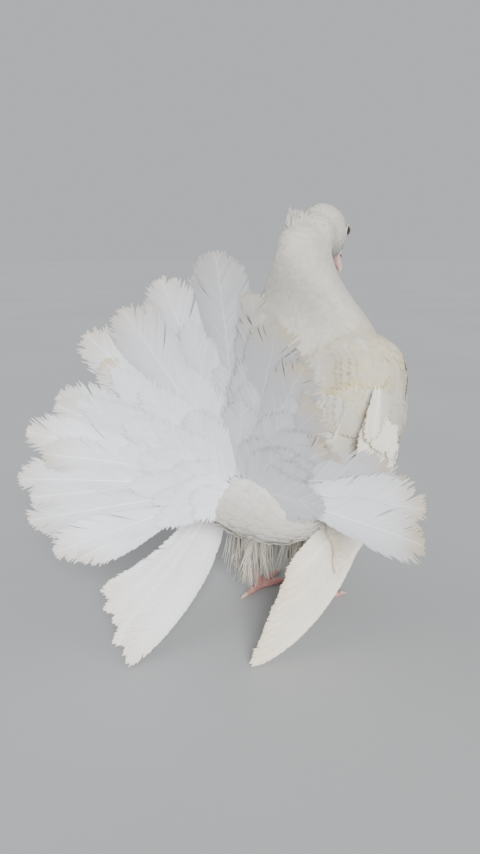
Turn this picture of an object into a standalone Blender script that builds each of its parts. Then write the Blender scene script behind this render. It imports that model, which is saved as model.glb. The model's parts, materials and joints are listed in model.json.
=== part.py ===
"""A white fantail pigeon that stands with its tail raised and spread, as a still, life-size model.

The bird faces -Y, its left side is +X and the floor is z = 0. Sizes are in metres.
It stands on its toes and on the tips of its lowered wings.
"""

import math
import random

import bmesh
import bpy
import numpy as np
from mathutils import Euler, Matrix, Vector

MM = 0.001
GAP = 0.3 * MM
BIRD_AT = Vector((3.45, -68.75, 0.0)) * MM

# Rings of the body from the rump to the throat: dorsal (y, z), ventral (y, z), half width, in mm.
BODY_RINGS = (
    ((109, 112), (106, 82), 15),
    ((102, 127), (99, 67), 32),
    ((87, 142), (81, 58), 45),
    ((66, 158), (54, 56), 53),
    ((50, 170), (20, 61), 57),
    ((42, 184), (-14, 76), 58),
    ((41, 197), (-40, 100), 57),
    ((44, 208), (-50, 132), 50),
    ((49, 219), (-43, 165), 39),
    ((53, 229), (-26, 192), 28),
    ((54, 238), (-9, 214), 20.5),
    ((51, 248), (2, 231), 17.5),
    ((45, 256), (8, 243), 15.5),
    ((34, 262), (10, 253), 11),
)
TORSO_STEPS = 15
NECK_STEPS = 12
NECK_STARTS = 7
BODY_SIDES = 22

# Rings of the skull in its own frame, from occiput to bill: y, centre z, half width, up, down, in mm.
SKULL_RINGS = (
    (18.5, 0.0, 4.5, 4.5, 4.5),
    (15.5, 0.0, 10.5, 10.5, 9.5),
    (9.5, 0.0, 13.6, 14.6, 13.0),
    (1.5, 0.0, 15.0, 16.4, 14.4),
    (-6.0, 0.0, 14.3, 15.2, 13.6),
    (-12.0, -0.6, 11.8, 11.6, 11.4),
    (-16.5, -1.8, 8.4, 8.2, 8.8),
    (-19.6, -3.2, 5.2, 5.0, 5.6),
)
HEAD_AT = Vector((-2, 3, 251.5)) * MM
HEAD_TURN = math.radians(-4)
HEAD_NOD = math.radians(44)
SKULL_STEPS = 11
SKULL_SIDES = 16

EYE_AT = Vector((13.0, -6.8, 2.6)) * MM
EYE_RADIUS = 4.3 * MM
BILL_LENGTH = 18.5 * MM
BILL_BASE_Y = -18.6 * MM
CREST_COUNT = 8
CREST_LENGTH = 17 * MM
CREST_AT = Vector((2, 34, 251)) * MM

# The fan, from the bird's left round to its right: degrees from upright, reach in mm from the
# root, and how far back the lateral direction swings, in degrees.
TAIL_FORM = (
    (115, 116, 33),
    (103, 133, 33),
    (86, 127, 33),
    (62, 129, 33),
    (46, 115, 33),
    (33, 130, 32),
    (20, 135, 31),
    (4, 146, 28),
    (-8, 125, -2),
    (-20, 113, -4),
    (-32, 92, -4),
    (-48, 78, -2),
    (-62, 68, 0),
    (-69, 80, 2),
    (-75, 106, 3),
    (-81, 118, 5),
    (-90, 118, 8),
)
TAIL_ROOT = Vector((0, 110, 102)) * MM
TAIL_COUNT = 25
TAIL_LEAN_BACK = math.radians(12)
TAIL_WIDTH = 26 * MM
TAIL_BASE = 12 * MM
TAIL_SHINGLE = math.radians(8)
# Shorter feathers over the fan: count, from and to in degrees from upright, length, width and
# lift in mm, tilt away from the fan in degrees, and 1 behind the fan or -1 in front of it.
TAIL_TIERS = {
    "undertail_a": (7, -40, 66, 66, 25, 3, 5.0, 1.0),
    "undertail_b": (6, -66, 84, 44, 25, 5, 14.0, 1.0),
    "undertail_c": (5, -84, 96, 30, 24, 6, 26.0, 1.0),
    "undertail_d": (5, -150, 160, 22, 22, 8, 40.0, 1.0),
    "uppertail": (6, -66, 76, 40, 23, 3, 8.0, -1.0),
}

# Each wing's leading edge from wrist to tip, as the four points of a Bezier curve, in mm.
LEFT_EDGE = ((61, 8, 166), (62, 12, 85), (8, 64, 34), (42, 176, -3.3))
RIGHT_EDGE = ((-63, 0, 167), (-66, 4, 92), (-66, 72, 17), (-23, 139, -0.8))
LEFT_TRAILING = (Vector((-0.10, 0.80, 0.35)), Vector((0.78, 0.05, 0.62)))
RIGHT_TRAILING = (Vector((0.10, 0.85, 0.35)), Vector((0.50, 0.65, 0.56)))
# The flesh of the wing, from the wrist down: its bulk ring by ring, how far along the edge it
# goes, and half its breadth, half its depth and its middle behind the edge, each with its
# change from the first ring to the last, in mm.
WING_BULK = (0.22, 0.62, 0.88, 1.0, 1.02, 1.0, 0.93, 0.82, 0.66, 0.4)
WING_FLESH = 0.46
WING_FLESH_BREADTH = 24
WING_FLESH_DEPTH = (10.5, -5.5)
WING_FLESH_BEHIND = (18, 11)
LEFT_SPREAD = (30, 0.035)
RIGHT_SPREAD = (36, 0.20)
PRIMARY_COUNT = 9
SECONDARY_COUNT = 6
COVERT_COUNT = 5
# The mass of the folded arm, from the back to the wrist and to the elbow: centre and radius, in mm.
ARM_STRANDS = (
    ((26, 38, 175, 17), (40, 29, 175, 15.5), (51, 20, 170, 14), (57, 14, 160, 11), (59, 10, 146, 8)),
    ((24, 46, 172, 16), (34, 46, 160, 16), (42, 46, 148, 15), (49, 45, 135, 12), (52, 46, 122, 8)),
)
ARM_STEPS = 5
ARM_SIDES = 9

LEG_X = 21 * MM
ANKLE_Y = 56 * MM
ANKLE_Z = 30 * MM
FOOT_Y = 46 * MM
TOE_RADIUS = 2.7 * MM
TOES = (("inner", -32, 25), ("middle", 0, 30), ("outer", 34, 24), ("hind", 172, 17))
CLAW_LENGTH = 6.5 * MM
MUFF_COUNT = 8

FEATHER_WHITE = (0.86, 0.85, 0.83, 1.0)
WING_WHITE = (0.88, 0.86, 0.81, 1.0)
SKIN_PINK = (0.72, 0.42, 0.40, 1.0)
BILL_PINK = (0.80, 0.58, 0.54, 1.0)
EYE_DARK = (0.03, 0.015, 0.012, 1.0)
CLAW_HORN = (0.62, 0.52, 0.46, 1.0)


def clear_scene():
    for old in list(bpy.data.objects):
        bpy.data.objects.remove(old, do_unlink=True)


def material(name, colour, roughness):
    made = bpy.data.materials.get(name) or bpy.data.materials.new(name)
    made.use_nodes = True
    shader = made.node_tree.nodes["Principled BSDF"]
    shader.inputs["Base Color"].default_value = colour
    shader.inputs["Roughness"].default_value = roughness
    shader.inputs["Metallic"].default_value = 0.0
    return made


def mesh_object(name, points, faces, look):
    mesh = bpy.data.meshes.new(name)
    mesh.from_pydata([tuple(p) for p in points], [], faces)
    mesh.materials.append(look)
    shape = bmesh.new()
    shape.from_mesh(mesh)
    bmesh.ops.recalc_face_normals(shape, faces=shape.faces)
    shape.to_mesh(mesh)
    shape.free()
    made = bpy.data.objects.new(name, mesh)
    bpy.context.scene.collection.objects.link(made)
    return made


def loft(name, rings, look):
    """A closed skin through rings of equal count, with a point in the middle of each end."""
    sides = len(rings[0])
    points = [p for ring in rings for p in ring]
    faces = []
    for i in range(len(rings) - 1):
        for k in range(sides):
            a, b = i * sides + k, i * sides + (k + 1) % sides
            faces += [(a, b, b + sides), (a, b + sides, a + sides)]
    for ring, first in ((rings[0], 0), (rings[-1], (len(rings) - 1) * sides)):
        points.append(sum(ring, Vector()) / sides)
        faces += [(first + k, first + (k + 1) % sides, len(points) - 1) for k in range(sides)]
    return mesh_object(name, points, faces, look)


def full_turn(sides):
    """Equal angles all the way round."""
    return [2 * math.pi * k / sides for k in range(sides)]


def smooth_rows(rows, steps):
    """Rows of numbers resampled along a Catmull-Rom curve through them."""
    table = np.array(rows, float)
    table = np.vstack([2 * table[0] - table[1], table, 2 * table[-1] - table[-2]])
    found = []
    for t in np.linspace(0, len(rows) - 1, steps):
        k = min(int(t), len(rows) - 2)
        f = t - k
        p0, p1, p2, p3 = table[k : k + 4]
        bend = 2 * p0 - 5 * p1 + 4 * p2 - p3
        turn = 3 * p1 - p0 - 3 * p2 + p3
        found.append(0.5 * (2 * p1 + (p2 - p0) * f + bend * f * f + turn * f**3))
    return found


def body_ring(row, grow=0.0):
    """One ring of the body, as an oval between its dorsal and its ventral point."""
    dorsal_y, dorsal_z, ventral_y, ventral_z, half_width = row
    centre = Vector((0, dorsal_y + ventral_y, dorsal_z + ventral_z)) * MM / 2
    up = Vector((0, dorsal_y - ventral_y, dorsal_z - ventral_z)) * MM / 2
    up += up.normalized() * grow
    side = Vector((half_width * MM + grow, 0, 0))
    return [centre + up * math.cos(t) + side * math.sin(t) for t in full_turn(BODY_SIDES)]


def body_rows(first, last, steps):
    rows = [(*d, *v, w) for d, v, w in BODY_RINGS[first : last + 1]]
    return smooth_rows(rows, steps)


def make_torso(name, look, grow=0.0):
    rows = body_rows(0, NECK_STARTS, TORSO_STEPS)
    return loft(name, [body_ring(r, grow) for r in rows], look)


def make_neck(look):
    """The neck starts a gap above the flat end of the torso, on the same ring."""
    rows = body_rows(NECK_STARTS, len(BODY_RINGS) - 1, NECK_STEPS)
    rings = [body_ring(r) for r in rows]
    up = (rings[0][0] - rings[0][BODY_SIDES // 2]).normalized()
    away = Vector((0, -up.z, up.y))
    away *= math.copysign(GAP, away.dot(rings[1][0] - rings[0][0]))
    rings[0] = [p + away for p in rings[0]]
    neck = loft("neck", rings, look)
    return fuse("neck", neck, make_crest(look))


def make_crest(look):
    """The peaked crest, a row of upright feathers at the top of the nape."""
    draw = random.Random(3)
    pieces = []
    for i in range(CREST_COUNT):
        across = 2 * i / (CREST_COUNT - 1) - 1
        root = CREST_AT + Vector((11 * across, -1.5 * (i % 2) - 3 * across**2, -6 * across**2)) * MM
        along = Vector((0.35 * across, 0.10, 1.0))
        length = CREST_LENGTH * (1 - 0.25 * across**2) * draw.uniform(0.9, 1.06)
        pieces.append(
            vane(f"crest_{i}", look, root, along, Vector((0.3 * across, 1.0, -0.1)), length, 4.8 * MM,
                 stem=4 * MM, curl=math.radians(-10), steps=3, square=0.3, widest=0.4)
        )
    return pieces


def head_frame():
    """From the skull's own frame to the bird's."""
    turn = Euler((HEAD_NOD, 0, 0)).to_matrix().to_4x4()
    yaw = Euler((0, 0, HEAD_TURN)).to_matrix().to_4x4()
    return Matrix.Translation(HEAD_AT) @ yaw @ turn


def make_skull(name, look, grow=0.0):
    rings = []
    for y, z, width, up, down in smooth_rows(SKULL_RINGS, SKULL_STEPS):
        ring = []
        for t in full_turn(SKULL_SIDES):
            tall = (up if math.cos(t) > 0 else down) * MM + grow
            ring.append(Vector(((width * MM + grow) * math.sin(t), y * MM, z * MM + tall * math.cos(t))))
        rings.append(ring)
    made = loft(name, rings, look)
    made.data.transform(head_frame())
    return made


def ball(name, centre, radii, look, segments=16, rings=10):
    shape = bmesh.new()
    bmesh.ops.create_uvsphere(shape, u_segments=segments, v_segments=rings, radius=1.0)
    bmesh.ops.scale(shape, vec=radii, verts=shape.verts)
    bmesh.ops.translate(shape, vec=centre, verts=shape.verts)
    bmesh.ops.triangulate(shape, faces=shape.faces)
    mesh = bpy.data.meshes.new(name)
    shape.to_mesh(mesh)
    shape.free()
    mesh.materials.append(look)
    made = bpy.data.objects.new(name, mesh)
    bpy.context.scene.collection.objects.link(made)
    return made


def lid_ring(name, centre, radius, thick, axis, look):
    """A closed ring round the eye, facing along axis."""
    bpy.ops.mesh.primitive_torus_add(
        major_radius=radius, minor_radius=thick, major_segments=16, minor_segments=5
    )
    made = bpy.context.object
    made.name = name
    made.data.materials.append(look)
    made.data.transform(Vector((0, 0, 1)).rotation_difference(axis).to_matrix().to_4x4())
    made.data.transform(Matrix.Translation(centre))
    return made


def largest_closed_surface(made):
    """Drops every loose surface of a mesh but the one with the largest box."""
    shape = bmesh.new()
    shape.from_mesh(made.data)
    bmesh.ops.remove_doubles(shape, verts=shape.verts, dist=1e-6)
    left = set(shape.verts)
    groups = []
    while left:
        todo = [left.pop()]
        group = list(todo)
        while todo:
            for edge in todo.pop().link_edges:
                for vert in edge.verts:
                    if vert in left:
                        left.remove(vert)
                        todo.append(vert)
                        group.append(vert)
        groups.append(group)

    def reach(group):
        spots = np.array([v.co for v in group])
        return float(np.prod(spots.max(0) - spots.min(0)))

    groups.sort(key=reach)
    for group in groups[:-1]:
        bmesh.ops.delete(shape, geom=group, context="VERTS")
    bmesh.ops.triangulate(shape, faces=shape.faces)
    shape.to_mesh(made.data)
    shape.free()


def apply_boolean(made, operation, operand=None, operands=None, solver="EXACT"):
    change = made.modifiers.new(operation, "BOOLEAN")
    change.operation = operation
    change.solver = solver
    if operands is not None:
        change.operand_type = "COLLECTION"
        change.collection = operands
    else:
        change.object = operand
    bpy.context.view_layer.update()
    graph = bpy.context.evaluated_depsgraph_get()
    mesh = bpy.data.meshes.new_from_object(made.evaluated_get(graph))
    made.modifiers.clear()
    made.data = mesh


def fuse(name, body, pieces, solver="MANIFOLD"):
    """Joins the pieces to the body by one union and keeps the largest closed surface."""
    group = bpy.data.collections.new(name + "_pieces")
    for piece in pieces:
        group.objects.link(piece)
    apply_boolean(body, "UNION", operands=group, solver=solver)
    for piece in pieces:
        bpy.data.objects.remove(piece, do_unlink=True)
    bpy.data.collections.remove(group)
    largest_closed_surface(body)
    body.name = name
    body.data.name = name
    return body


def cut(made, cutter, solver="MANIFOLD"):
    apply_boolean(made, "DIFFERENCE", operand=cutter, solver=solver)
    bpy.data.objects.remove(cutter, do_unlink=True)
    largest_closed_surface(made)


def straight_frames(root, along, face, length, curl, sweep, steps):
    """Spots along a feather with its direction and outer face, bent by curl and by sweep."""
    along = along.normalized()
    face = (face - along * face.dot(along)).normalized()
    spot = root.copy()
    frames = [(spot.copy(), along, face, 0.0)]
    for i in range(steps):
        side = along.cross(face)
        old = along
        turn = Matrix.Rotation(sweep / steps, 3, face) @ Matrix.Rotation(curl / steps, 3, side)
        along = (turn @ along).normalized()
        face = (turn @ face).normalized()
        spot = spot + (old + along).normalized() * length / steps
        frames.append((spot.copy(), along, face, (i + 1) / steps))
    return frames


def vane_on(name, look, frames, width, stem, square=0.5, widest=0.72, camber=0.06,
            thick=0.5 * MM, ridge=0.35 * MM):
    """One feather as a thin closed vane with a ridge along its shaft.

    square is how blunt its tip is, widest where along it the vane is widest.
    """
    points, faces = [], []
    for spot, along, face, share in frames:
        side = along.cross(face).normalized()
        half = width_at(share, width, stem, widest, square) / 2
        tip = 1.0 - 0.45 * share
        drop = face * (-camber * half * 2)
        for across, sag, tall in ((-half, 1, 0), (0, 0, ridge), (half, 1, 0)):
            points.append(spot + side * across + drop * sag + face * (thick / 2 + tall * tip))
        for across, sag in ((-half, 1), (0, 0), (half, 1)):
            points.append(spot + side * across + drop * sag - face * (thick / 2))
    steps = len(frames) - 1
    for i in range(steps):
        a, b = i * 6, (i + 1) * 6
        for k in (0, 1):
            faces += [(a + k, a + k + 1, b + k + 1), (a + k, b + k + 1, b + k)]
            faces += [(a + k + 3, b + k + 4, a + k + 4), (a + k + 3, b + k + 3, b + k + 4)]
        faces += [(a, b, b + 3), (a, b + 3, a + 3), (a + 2, b + 5, b + 2), (a + 2, a + 5, b + 5)]
    for first in (0, steps * 6):
        for k in (0, 1):
            faces += [(first + k, first + k + 1, first + k + 4), (first + k, first + k + 4, first + k + 3)]
    return mesh_object(name, points, faces, look)


def vane(name, look, root, along, face, length, width, stem, curl=0.0, sweep=0.0, steps=6, **form):
    frames = straight_frames(root, along, face, length, curl, sweep, steps)
    return vane_on(name, look, frames, width, stem, **form)


def width_at(share, width, stem, widest, square):
    """The full width of a vane at a share of its length, from a narrow stem to a rounded end."""
    if share < widest:
        rise = (share / widest) ** 1.5
        return stem + (width - stem) * rise * rise * (3 - 2 * rise)
    fall = (share - widest) / (1 - widest)
    return width * (1 - (1 - square) * fall**2.2)


def tail_form(degrees):
    """Reach and backward swing of the fan at an angle, between the rows of its form."""
    table = np.array(TAIL_FORM[::-1], float)
    reach = np.interp(degrees, table[:, 0], table[:, 1]) * MM
    swing = np.interp(degrees, table[:, 0], table[:, 2])
    return reach, math.radians(swing)


def tail_direction(angle):
    """The direction of a tail feather at an angle from upright, positive to the bird's left."""
    middle = Vector((0, math.sin(TAIL_LEAN_BACK), math.cos(TAIL_LEAN_BACK)))
    swing = tail_form(math.degrees(angle))[1]
    lateral = Vector((math.copysign(math.cos(swing), angle), math.sin(swing), 0))
    return (middle * math.cos(angle) + lateral * abs(math.sin(angle))).normalized()


def tail_normal(angle):
    """The side of the fan that looks backwards, away from the bird's head."""
    step = math.radians(6)
    across = tail_direction(angle + step) - tail_direction(angle - step)
    found = tail_direction(angle).cross(across).normalized()
    return found if found.y > 0 else -found


def tail_angles(count, low=TAIL_FORM[-1][0], high=TAIL_FORM[0][0]):
    return [math.radians(low + (high - low) * i / (count - 1)) for i in range(count)]


def tail_vane(name, look, angle, lift, tilt, length, width, outer, shingle=0.0, **form):
    """A feather of the fan, lifted off the fan's plane at its root and tilted away from it."""
    along, back = tail_direction(angle), tail_normal(angle)
    edge = tail_direction(angle + 0.05) - tail_direction(angle - 0.05)
    edge = edge.normalized() * math.copysign(1.0, angle)
    face = (back * outer + edge * math.tan(shingle)).normalized()
    start = TAIL_ROOT + back * outer * lift + along * TAIL_BASE
    lean = along + back * outer * math.tan(tilt)
    return vane(name, look, start, lean, face, length, width, **form)


def make_tail(look):
    draw = random.Random(11)
    root = ball("tail_root", TAIL_ROOT + Vector((0, 4, 0)) * MM, Vector((17, 11, 17)) * MM, look, 14, 8)
    pieces = []
    for i, angle in enumerate(tail_angles(TAIL_COUNT)):
        reach = tail_form(math.degrees(angle))[0] * (1.0 + draw.uniform(-0.025, 0.025))
        pieces.append(
            tail_vane(f"rectrix_{i}", look, angle, 0.0, 0.0, reach - TAIL_BASE,
                      TAIL_WIDTH * draw.uniform(0.95, 1.05), 1.0, TAIL_SHINGLE,
                      stem=1.8 * MM, curl=math.radians(5), steps=4, square=0.62, widest=0.8)
        )
    for tier, (count, low, high, length, width, lift, tilt, outer) in TAIL_TIERS.items():
        for i, angle in enumerate(tail_angles(count, low, high)):
            short = min(1.0, tail_form(math.degrees(angle))[0] / (130 * MM))
            pieces.append(
                tail_vane(f"{tier}_{i}", look, angle, lift * MM, math.radians(tilt),
                          length * MM * draw.uniform(0.94, 1.06) * short, width * MM, outer,
                          TAIL_SHINGLE, stem=3 * MM, curl=math.radians(6), steps=3, square=0.45, widest=0.6)
            )
    tail = fuse("tail", root, pieces)
    cut(tail, make_torso("tail_cutter", look, GAP * 1.3))
    return tail


def make_floor(look):
    """What lies below the floor, to cut level flats with."""
    corners = [Vector((x, y, z)) for x in (-0.3, 0.3) for y in (-0.3, 0.4) for z in (-0.05, 0)]
    sides = ((0, 1, 3, 2), (4, 6, 7, 5), (0, 4, 5, 1), (2, 3, 7, 6), (0, 2, 6, 4), (1, 5, 7, 3))
    return mesh_object("floor_cutter", corners, sides, look)


def bezier(points, t):
    a, b, c, d = (Vector(p) * MM for p in points)
    s = 1 - t
    return a * s**3 + b * 3 * s * s * t + c * 3 * s * t * t + d * t**3


def bezier_slope(points, t):
    a, b, c, d = (Vector(p) * MM for p in points)
    s = 1 - t
    return ((b - a) * s * s + (c - b) * 2 * s * t + (d - c) * t * t).normalized()


def wing_axes(edge, trailing, t):
    """Along the wing, towards its trailing edge, and out through its upper side."""
    along = bezier_slope(edge, t)
    back = trailing[0].lerp(trailing[1], t)
    back = (back - along * back.dot(along)).normalized()
    return along, back, along.cross(back) * math.copysign(1.0, edge[0][0])


def wing_path(edge, trailing, low, high, near, far, lift, steps):
    """Frames of a wing feather that follows the leading edge, near to far behind it."""
    frames = []
    for i in range(steps + 1):
        share = i / steps
        t = low + (high - low) * share
        along, back, out = wing_axes(edge, trailing, t)
        spot = bezier(edge, t) + back * (near + (far - near) * share) * MM + out * lift * MM
        frames.append([spot, along, out, share])
    for i, frame in enumerate(frames):
        before, after = frames[max(0, i - 1)][0], frames[min(steps, i + 1)][0]
        frame[1] = (after - before).normalized()
    return [(s, a, (f - a * f.dot(a)).normalized(), share) for s, a, f, share in frames]


def arm_rings(sign, strand):
    """Rings round one strand of the folded arm, on the bird's left where sign is 1."""
    rows = smooth_rows(strand, ARM_STEPS)
    centres = [Vector((sign * x, y, z)) * MM for x, y, z, _ in rows]
    rings = []
    for i, (centre, row) in enumerate(zip(centres, rows)):
        along = (centres[min(i + 1, ARM_STEPS - 1)] - centres[max(i - 1, 0)]).normalized()
        side = along.cross(Vector((0, 1, 0))).normalized()
        up = side.cross(along)
        radius = row[3] * MM
        rings.append([centre + (side * math.cos(t) + up * math.sin(t)) * radius for t in full_turn(ARM_SIDES)])
    return rings


def make_wing(side, edge, trailing, spread, taper, look):
    """A folded wing: the arm and hand, with coverts, secondaries and primaries in tiers.

    spread is how far the innermost primary ends behind the edge in mm, taper how far short.
    """
    draw = random.Random(side)
    rings = []
    for i, bulk in enumerate(WING_BULK):
        share = i / (len(WING_BULK) - 1)
        along, back, out = wing_axes(edge, trailing, WING_FLESH * share)
        behind = WING_FLESH_BEHIND[0] + WING_FLESH_BEHIND[1] * share
        centre = bezier(edge, WING_FLESH * share) + back * behind * MM
        centre -= along * max(0.0, 9 - 50 * share) * MM
        wide = WING_FLESH_BREADTH * MM * bulk
        deep = (WING_FLESH_DEPTH[0] + WING_FLESH_DEPTH[1] * share) * MM * bulk
        rings.append([centre + back * wide * math.cos(t) + out * deep * math.sin(t) for t in full_turn(14)])
    core = loft(f"wing_{side}_core", rings, look)
    sign = math.copysign(1.0, edge[0][0])
    pieces = [loft(f"arm_{side}_{k}", arm_rings(sign, s), look) for k, s in enumerate(ARM_STRANDS)]
    for i in range(PRIMARY_COUNT):
        inner = i / (PRIMARY_COUNT - 1)
        frames = wing_path(edge, trailing, 0.22 + 0.05 * inner, 0.995 - taper * inner**1.3,
                           9 + 15 * inner, 3 + spread * inner, 0.95 * i - 4.0, 4)
        pieces.append(vane_on(f"primary_{side}_{i}", look, frames, 17 * MM, 5 * MM, square=0.4,
                              widest=0.6, camber=0.03))
    for i in range(SECONDARY_COUNT):
        inner = i / (SECONDARY_COUNT - 1)
        frames = wing_path(edge, trailing, 0.24 + 0.03 * inner, 0.66 - 0.10 * inner,
                           14 + 30 * inner, 15 + 42 * inner, 4.0 + 0.66 * i, 4)
        pieces.append(vane_on(f"secondary_{side}_{i}", look, frames, 21 * MM, 8 * MM, square=0.5,
                              widest=0.6, camber=0.05))
    for i in range(COVERT_COUNT):
        inner = i / (COVERT_COUNT - 1)
        frames = wing_path(edge, trailing, 0.08 + 0.02 * inner, 0.42 - 0.03 * inner,
                           8 + 30 * inner, 7 + 44 * inner, 6.6, 3)
        tilt = (5.0 + 0.75 * i) * MM
        frames = [(s + f * tilt * share, a, f, share) for s, a, f, share in frames]
        pieces.append(vane_on(f"covert_{side}_{i}", look, frames, 19 * MM, 8 * MM, square=0.45,
                              widest=0.55, camber=0.05))
    wing = fuse(f"wing_{side}", core, pieces)
    cut(wing, make_torso("wing_cutter", look, GAP * 1.3))
    cut(wing, make_floor(look))
    return wing


def bill_ring(y, half_width, top, bottom, sides=12):
    ring = []
    middle, tall = (top + bottom) / 2, (top - bottom) / 2
    for t in full_turn(sides):
        ring.append(Vector((half_width * math.sin(t), y, middle + tall * math.cos(t))) * MM)
    return ring


def make_bill(look):
    """Upper and lower halves that meet along the line of the mouth, with a gap between them."""
    base = BILL_BASE_Y / MM
    tip = base - BILL_LENGTH / MM
    upper = loft("bill_upper", [
        bill_ring(base + 1.5, 3.9, 1.4, -4.2), bill_ring(base - 2.5, 3.8, 1.2, -4.5),
        bill_ring(base - 6.0, 3.1, 0.2, -5.0), bill_ring(base - 9.5, 2.3, -1.3, -5.4),
        bill_ring(base - 13.5, 1.8, -2.0, -6.0), bill_ring(tip + 1.6, 1.3, -3.2, -7.4),
        bill_ring(tip, 0.5, -5.6, -8.0)], look)
    cere_size, hole_size = Vector((2.2, 4.0, 1.9)) * MM, Vector((1.1, 2.0, 0.5)) * MM
    cere = [
        ball("cere_" + str(s), Vector((s * 1.9, base - 3.4, 0.1)) * MM, cere_size, look, 12, 8) for s in (-1, 1)
    ]
    fuse("bill_upper", upper, cere)
    for s in (-1, 1):
        cut(upper, ball("nostril", Vector((s * 3.9, base - 6.6, -1.9)) * MM, hole_size, look, 8, 6))
    lower = loft("bill_lower", [
        bill_ring(base + 1.5, 3.5, -4.2, -7.4), bill_ring(base - 4.0, 3.0, -4.4, -7.6),
        bill_ring(base - 9.0, 2.1, -5.0, -7.6), bill_ring(base - 13.5, 1.5, -5.8, -7.7),
        bill_ring(tip + 2.6, 0.7, -6.6, -7.9)], look)
    bpy.context.view_layer.update()
    mask = loft("mouth_mask", [
        bill_ring(base + 2.6, 4.9, 6.0, -4.5), bill_ring(base - 2.5, 4.9, 6.0, -4.8),
        bill_ring(base - 6.0, 4.6, 6.0, -5.3), bill_ring(base - 9.5, 4.4, 6.0, -5.75),
        bill_ring(base - 13.5, 4.2, 6.0, -6.4), bill_ring(tip - 1.0, 4.0, 6.0, -8.2)], look)
    cut(lower, mask)
    for made in (upper, lower):
        made.data.transform(head_frame())
    return upper, lower


def make_head(look, skin_look, eye_look, bill_look):
    frame = head_frame()
    head = make_skull("head", look)
    pieces = []
    for s in (-1, 1):
        centre = Vector((s * EYE_AT.x, EYE_AT.y, EYE_AT.z))
        axis = Vector((s, -0.30, 0.10)).normalized()
        ring = lid_ring(f"lid_{s}", centre + axis * 1.5 * MM, EYE_RADIUS * 0.98, 0.75 * MM, axis, look)
        ring.data.transform(frame)
        pieces.append(ring)
    fuse("head", head, pieces)
    eyes = []
    for side, s in (("left", 1), ("right", -1)):
        centre = frame @ Vector((s * EYE_AT.x, EYE_AT.y, EYE_AT.z))
        eyes.append(ball(f"eye_{side}", centre, Vector((1, 1, 1)) * EYE_RADIUS, eye_look, 12, 8))
        cut(head, ball("socket", centre, Vector((1, 1, 1)) * (EYE_RADIUS + GAP), look, 12, 8))
    upper, lower = make_bill(bill_look)
    for made in (upper, lower):
        cut(made, make_skull("face_cutter", look, GAP))
    return head, eyes, upper, lower


def toe_ring(centre, along, radius, sides=8):
    """A ring round a toe whose underside is flat on the floor."""
    side = along.cross(Vector((0, 0, 1))).normalized()
    ring = []
    for k in range(sides):
        t = 2 * math.pi * (k + 0.5) / sides
        spot = centre + side * radius * math.sin(t) + Vector((0, 0, 1)) * radius * math.cos(t)
        ring.append(Vector((spot.x, spot.y, max(0.0, spot.z))))
    return ring


def make_leg(side, sign, look, horn, feather_look):
    draw = random.Random(side + "leg")
    foot = Vector((sign * LEG_X, FOOT_Y, 4.6 * MM))
    ankle = Vector((sign * LEG_X, ANKLE_Y, ANKLE_Z))
    hip = Vector((sign * LEG_X, 46 * MM, 76 * MM))
    thigh_rows = ((hip, 15), (hip.lerp(ankle, 0.4), 13), (hip.lerp(ankle, 0.75), 9),
                  (ankle, 6.0), (ankle.lerp(foot, 0.35), 4.0), (ankle.lerp(foot, 0.8), 3.2), (foot, 3.4),
                  (foot + Vector((0, -1, -3.2)) * MM, 2.6))
    rings = []
    for centre, radius in thigh_rows:
        rings.append([centre + Vector((math.cos(t), math.sin(t), 0)) * radius * MM for t in full_turn(12)])
    leg = loft(f"leg_{side}_core", rings, feather_look)
    pieces, claws = [], []
    for name, bearing, length in TOES:
        turn = math.radians(bearing) * sign
        along = Vector((math.sin(turn), -math.cos(turn), 0))
        start = Vector((foot.x, foot.y, TOE_RADIUS * 0.86)) - along * 1.5 * MM
        rings = []
        for share, radius in ((0, 0.95), (0.3, 1.0), (0.42, 0.86), (0.6, 0.98), (0.75, 0.8), (1.0, 0.62)):
            centre = start + along * length * MM * share
            centre.z = TOE_RADIUS * radius * 0.86
            rings.append(toe_ring(centre, along, TOE_RADIUS * radius))
        pieces.append(loft(f"toe_{side}_{name}", rings, look))
        claws.append(make_claw(f"claw_{side}_{name}", start + along * (length * MM + GAP), along, horn))
    for i in range(MUFF_COUNT):
        turn = 2 * math.pi * i / MUFF_COUNT + draw.uniform(-0.08, 0.08)
        outward = Vector((math.cos(turn), math.sin(turn), 0))
        high = i % 2 == 0
        root = hip.lerp(ankle, 0.30 if high else 0.72) + outward * (9.5 if high else 6.0) * MM
        length = (32 if high else 24) * MM * draw.uniform(0.9, 1.08)
        pieces.append(
            vane(f"muff_{side}_{i}", feather_look, root, Vector((0, 0.1, -1)) + outward * 0.16, outward,
                 length, 9 * MM, 5 * MM, curl=math.radians(10), steps=2, square=0.2, widest=0.5)
        )
    fuse(f"leg_{side}", leg, pieces)
    cut(leg, make_torso("leg_cutter", look, GAP * 1.3))
    return leg, claws


def make_claw(name, start, along, look):
    """A small curved claw that meets the flat end of its toe and stays above the floor."""
    rings = []
    for share in (0.0, 0.35, 0.7, 1.0):
        radius = 1.45 * MM * (1 - share) ** 0.7 + 0.22 * MM
        centre = start + along * CLAW_LENGTH * share
        centre.z = TOE_RADIUS * 0.62 * 0.86 + MM * (0.5 * math.sin(math.pi * share) - 0.9 * share) + 0.2 * MM
        rings.append(toe_ring(centre, along, radius))
    return loft(name, rings, look)


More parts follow.
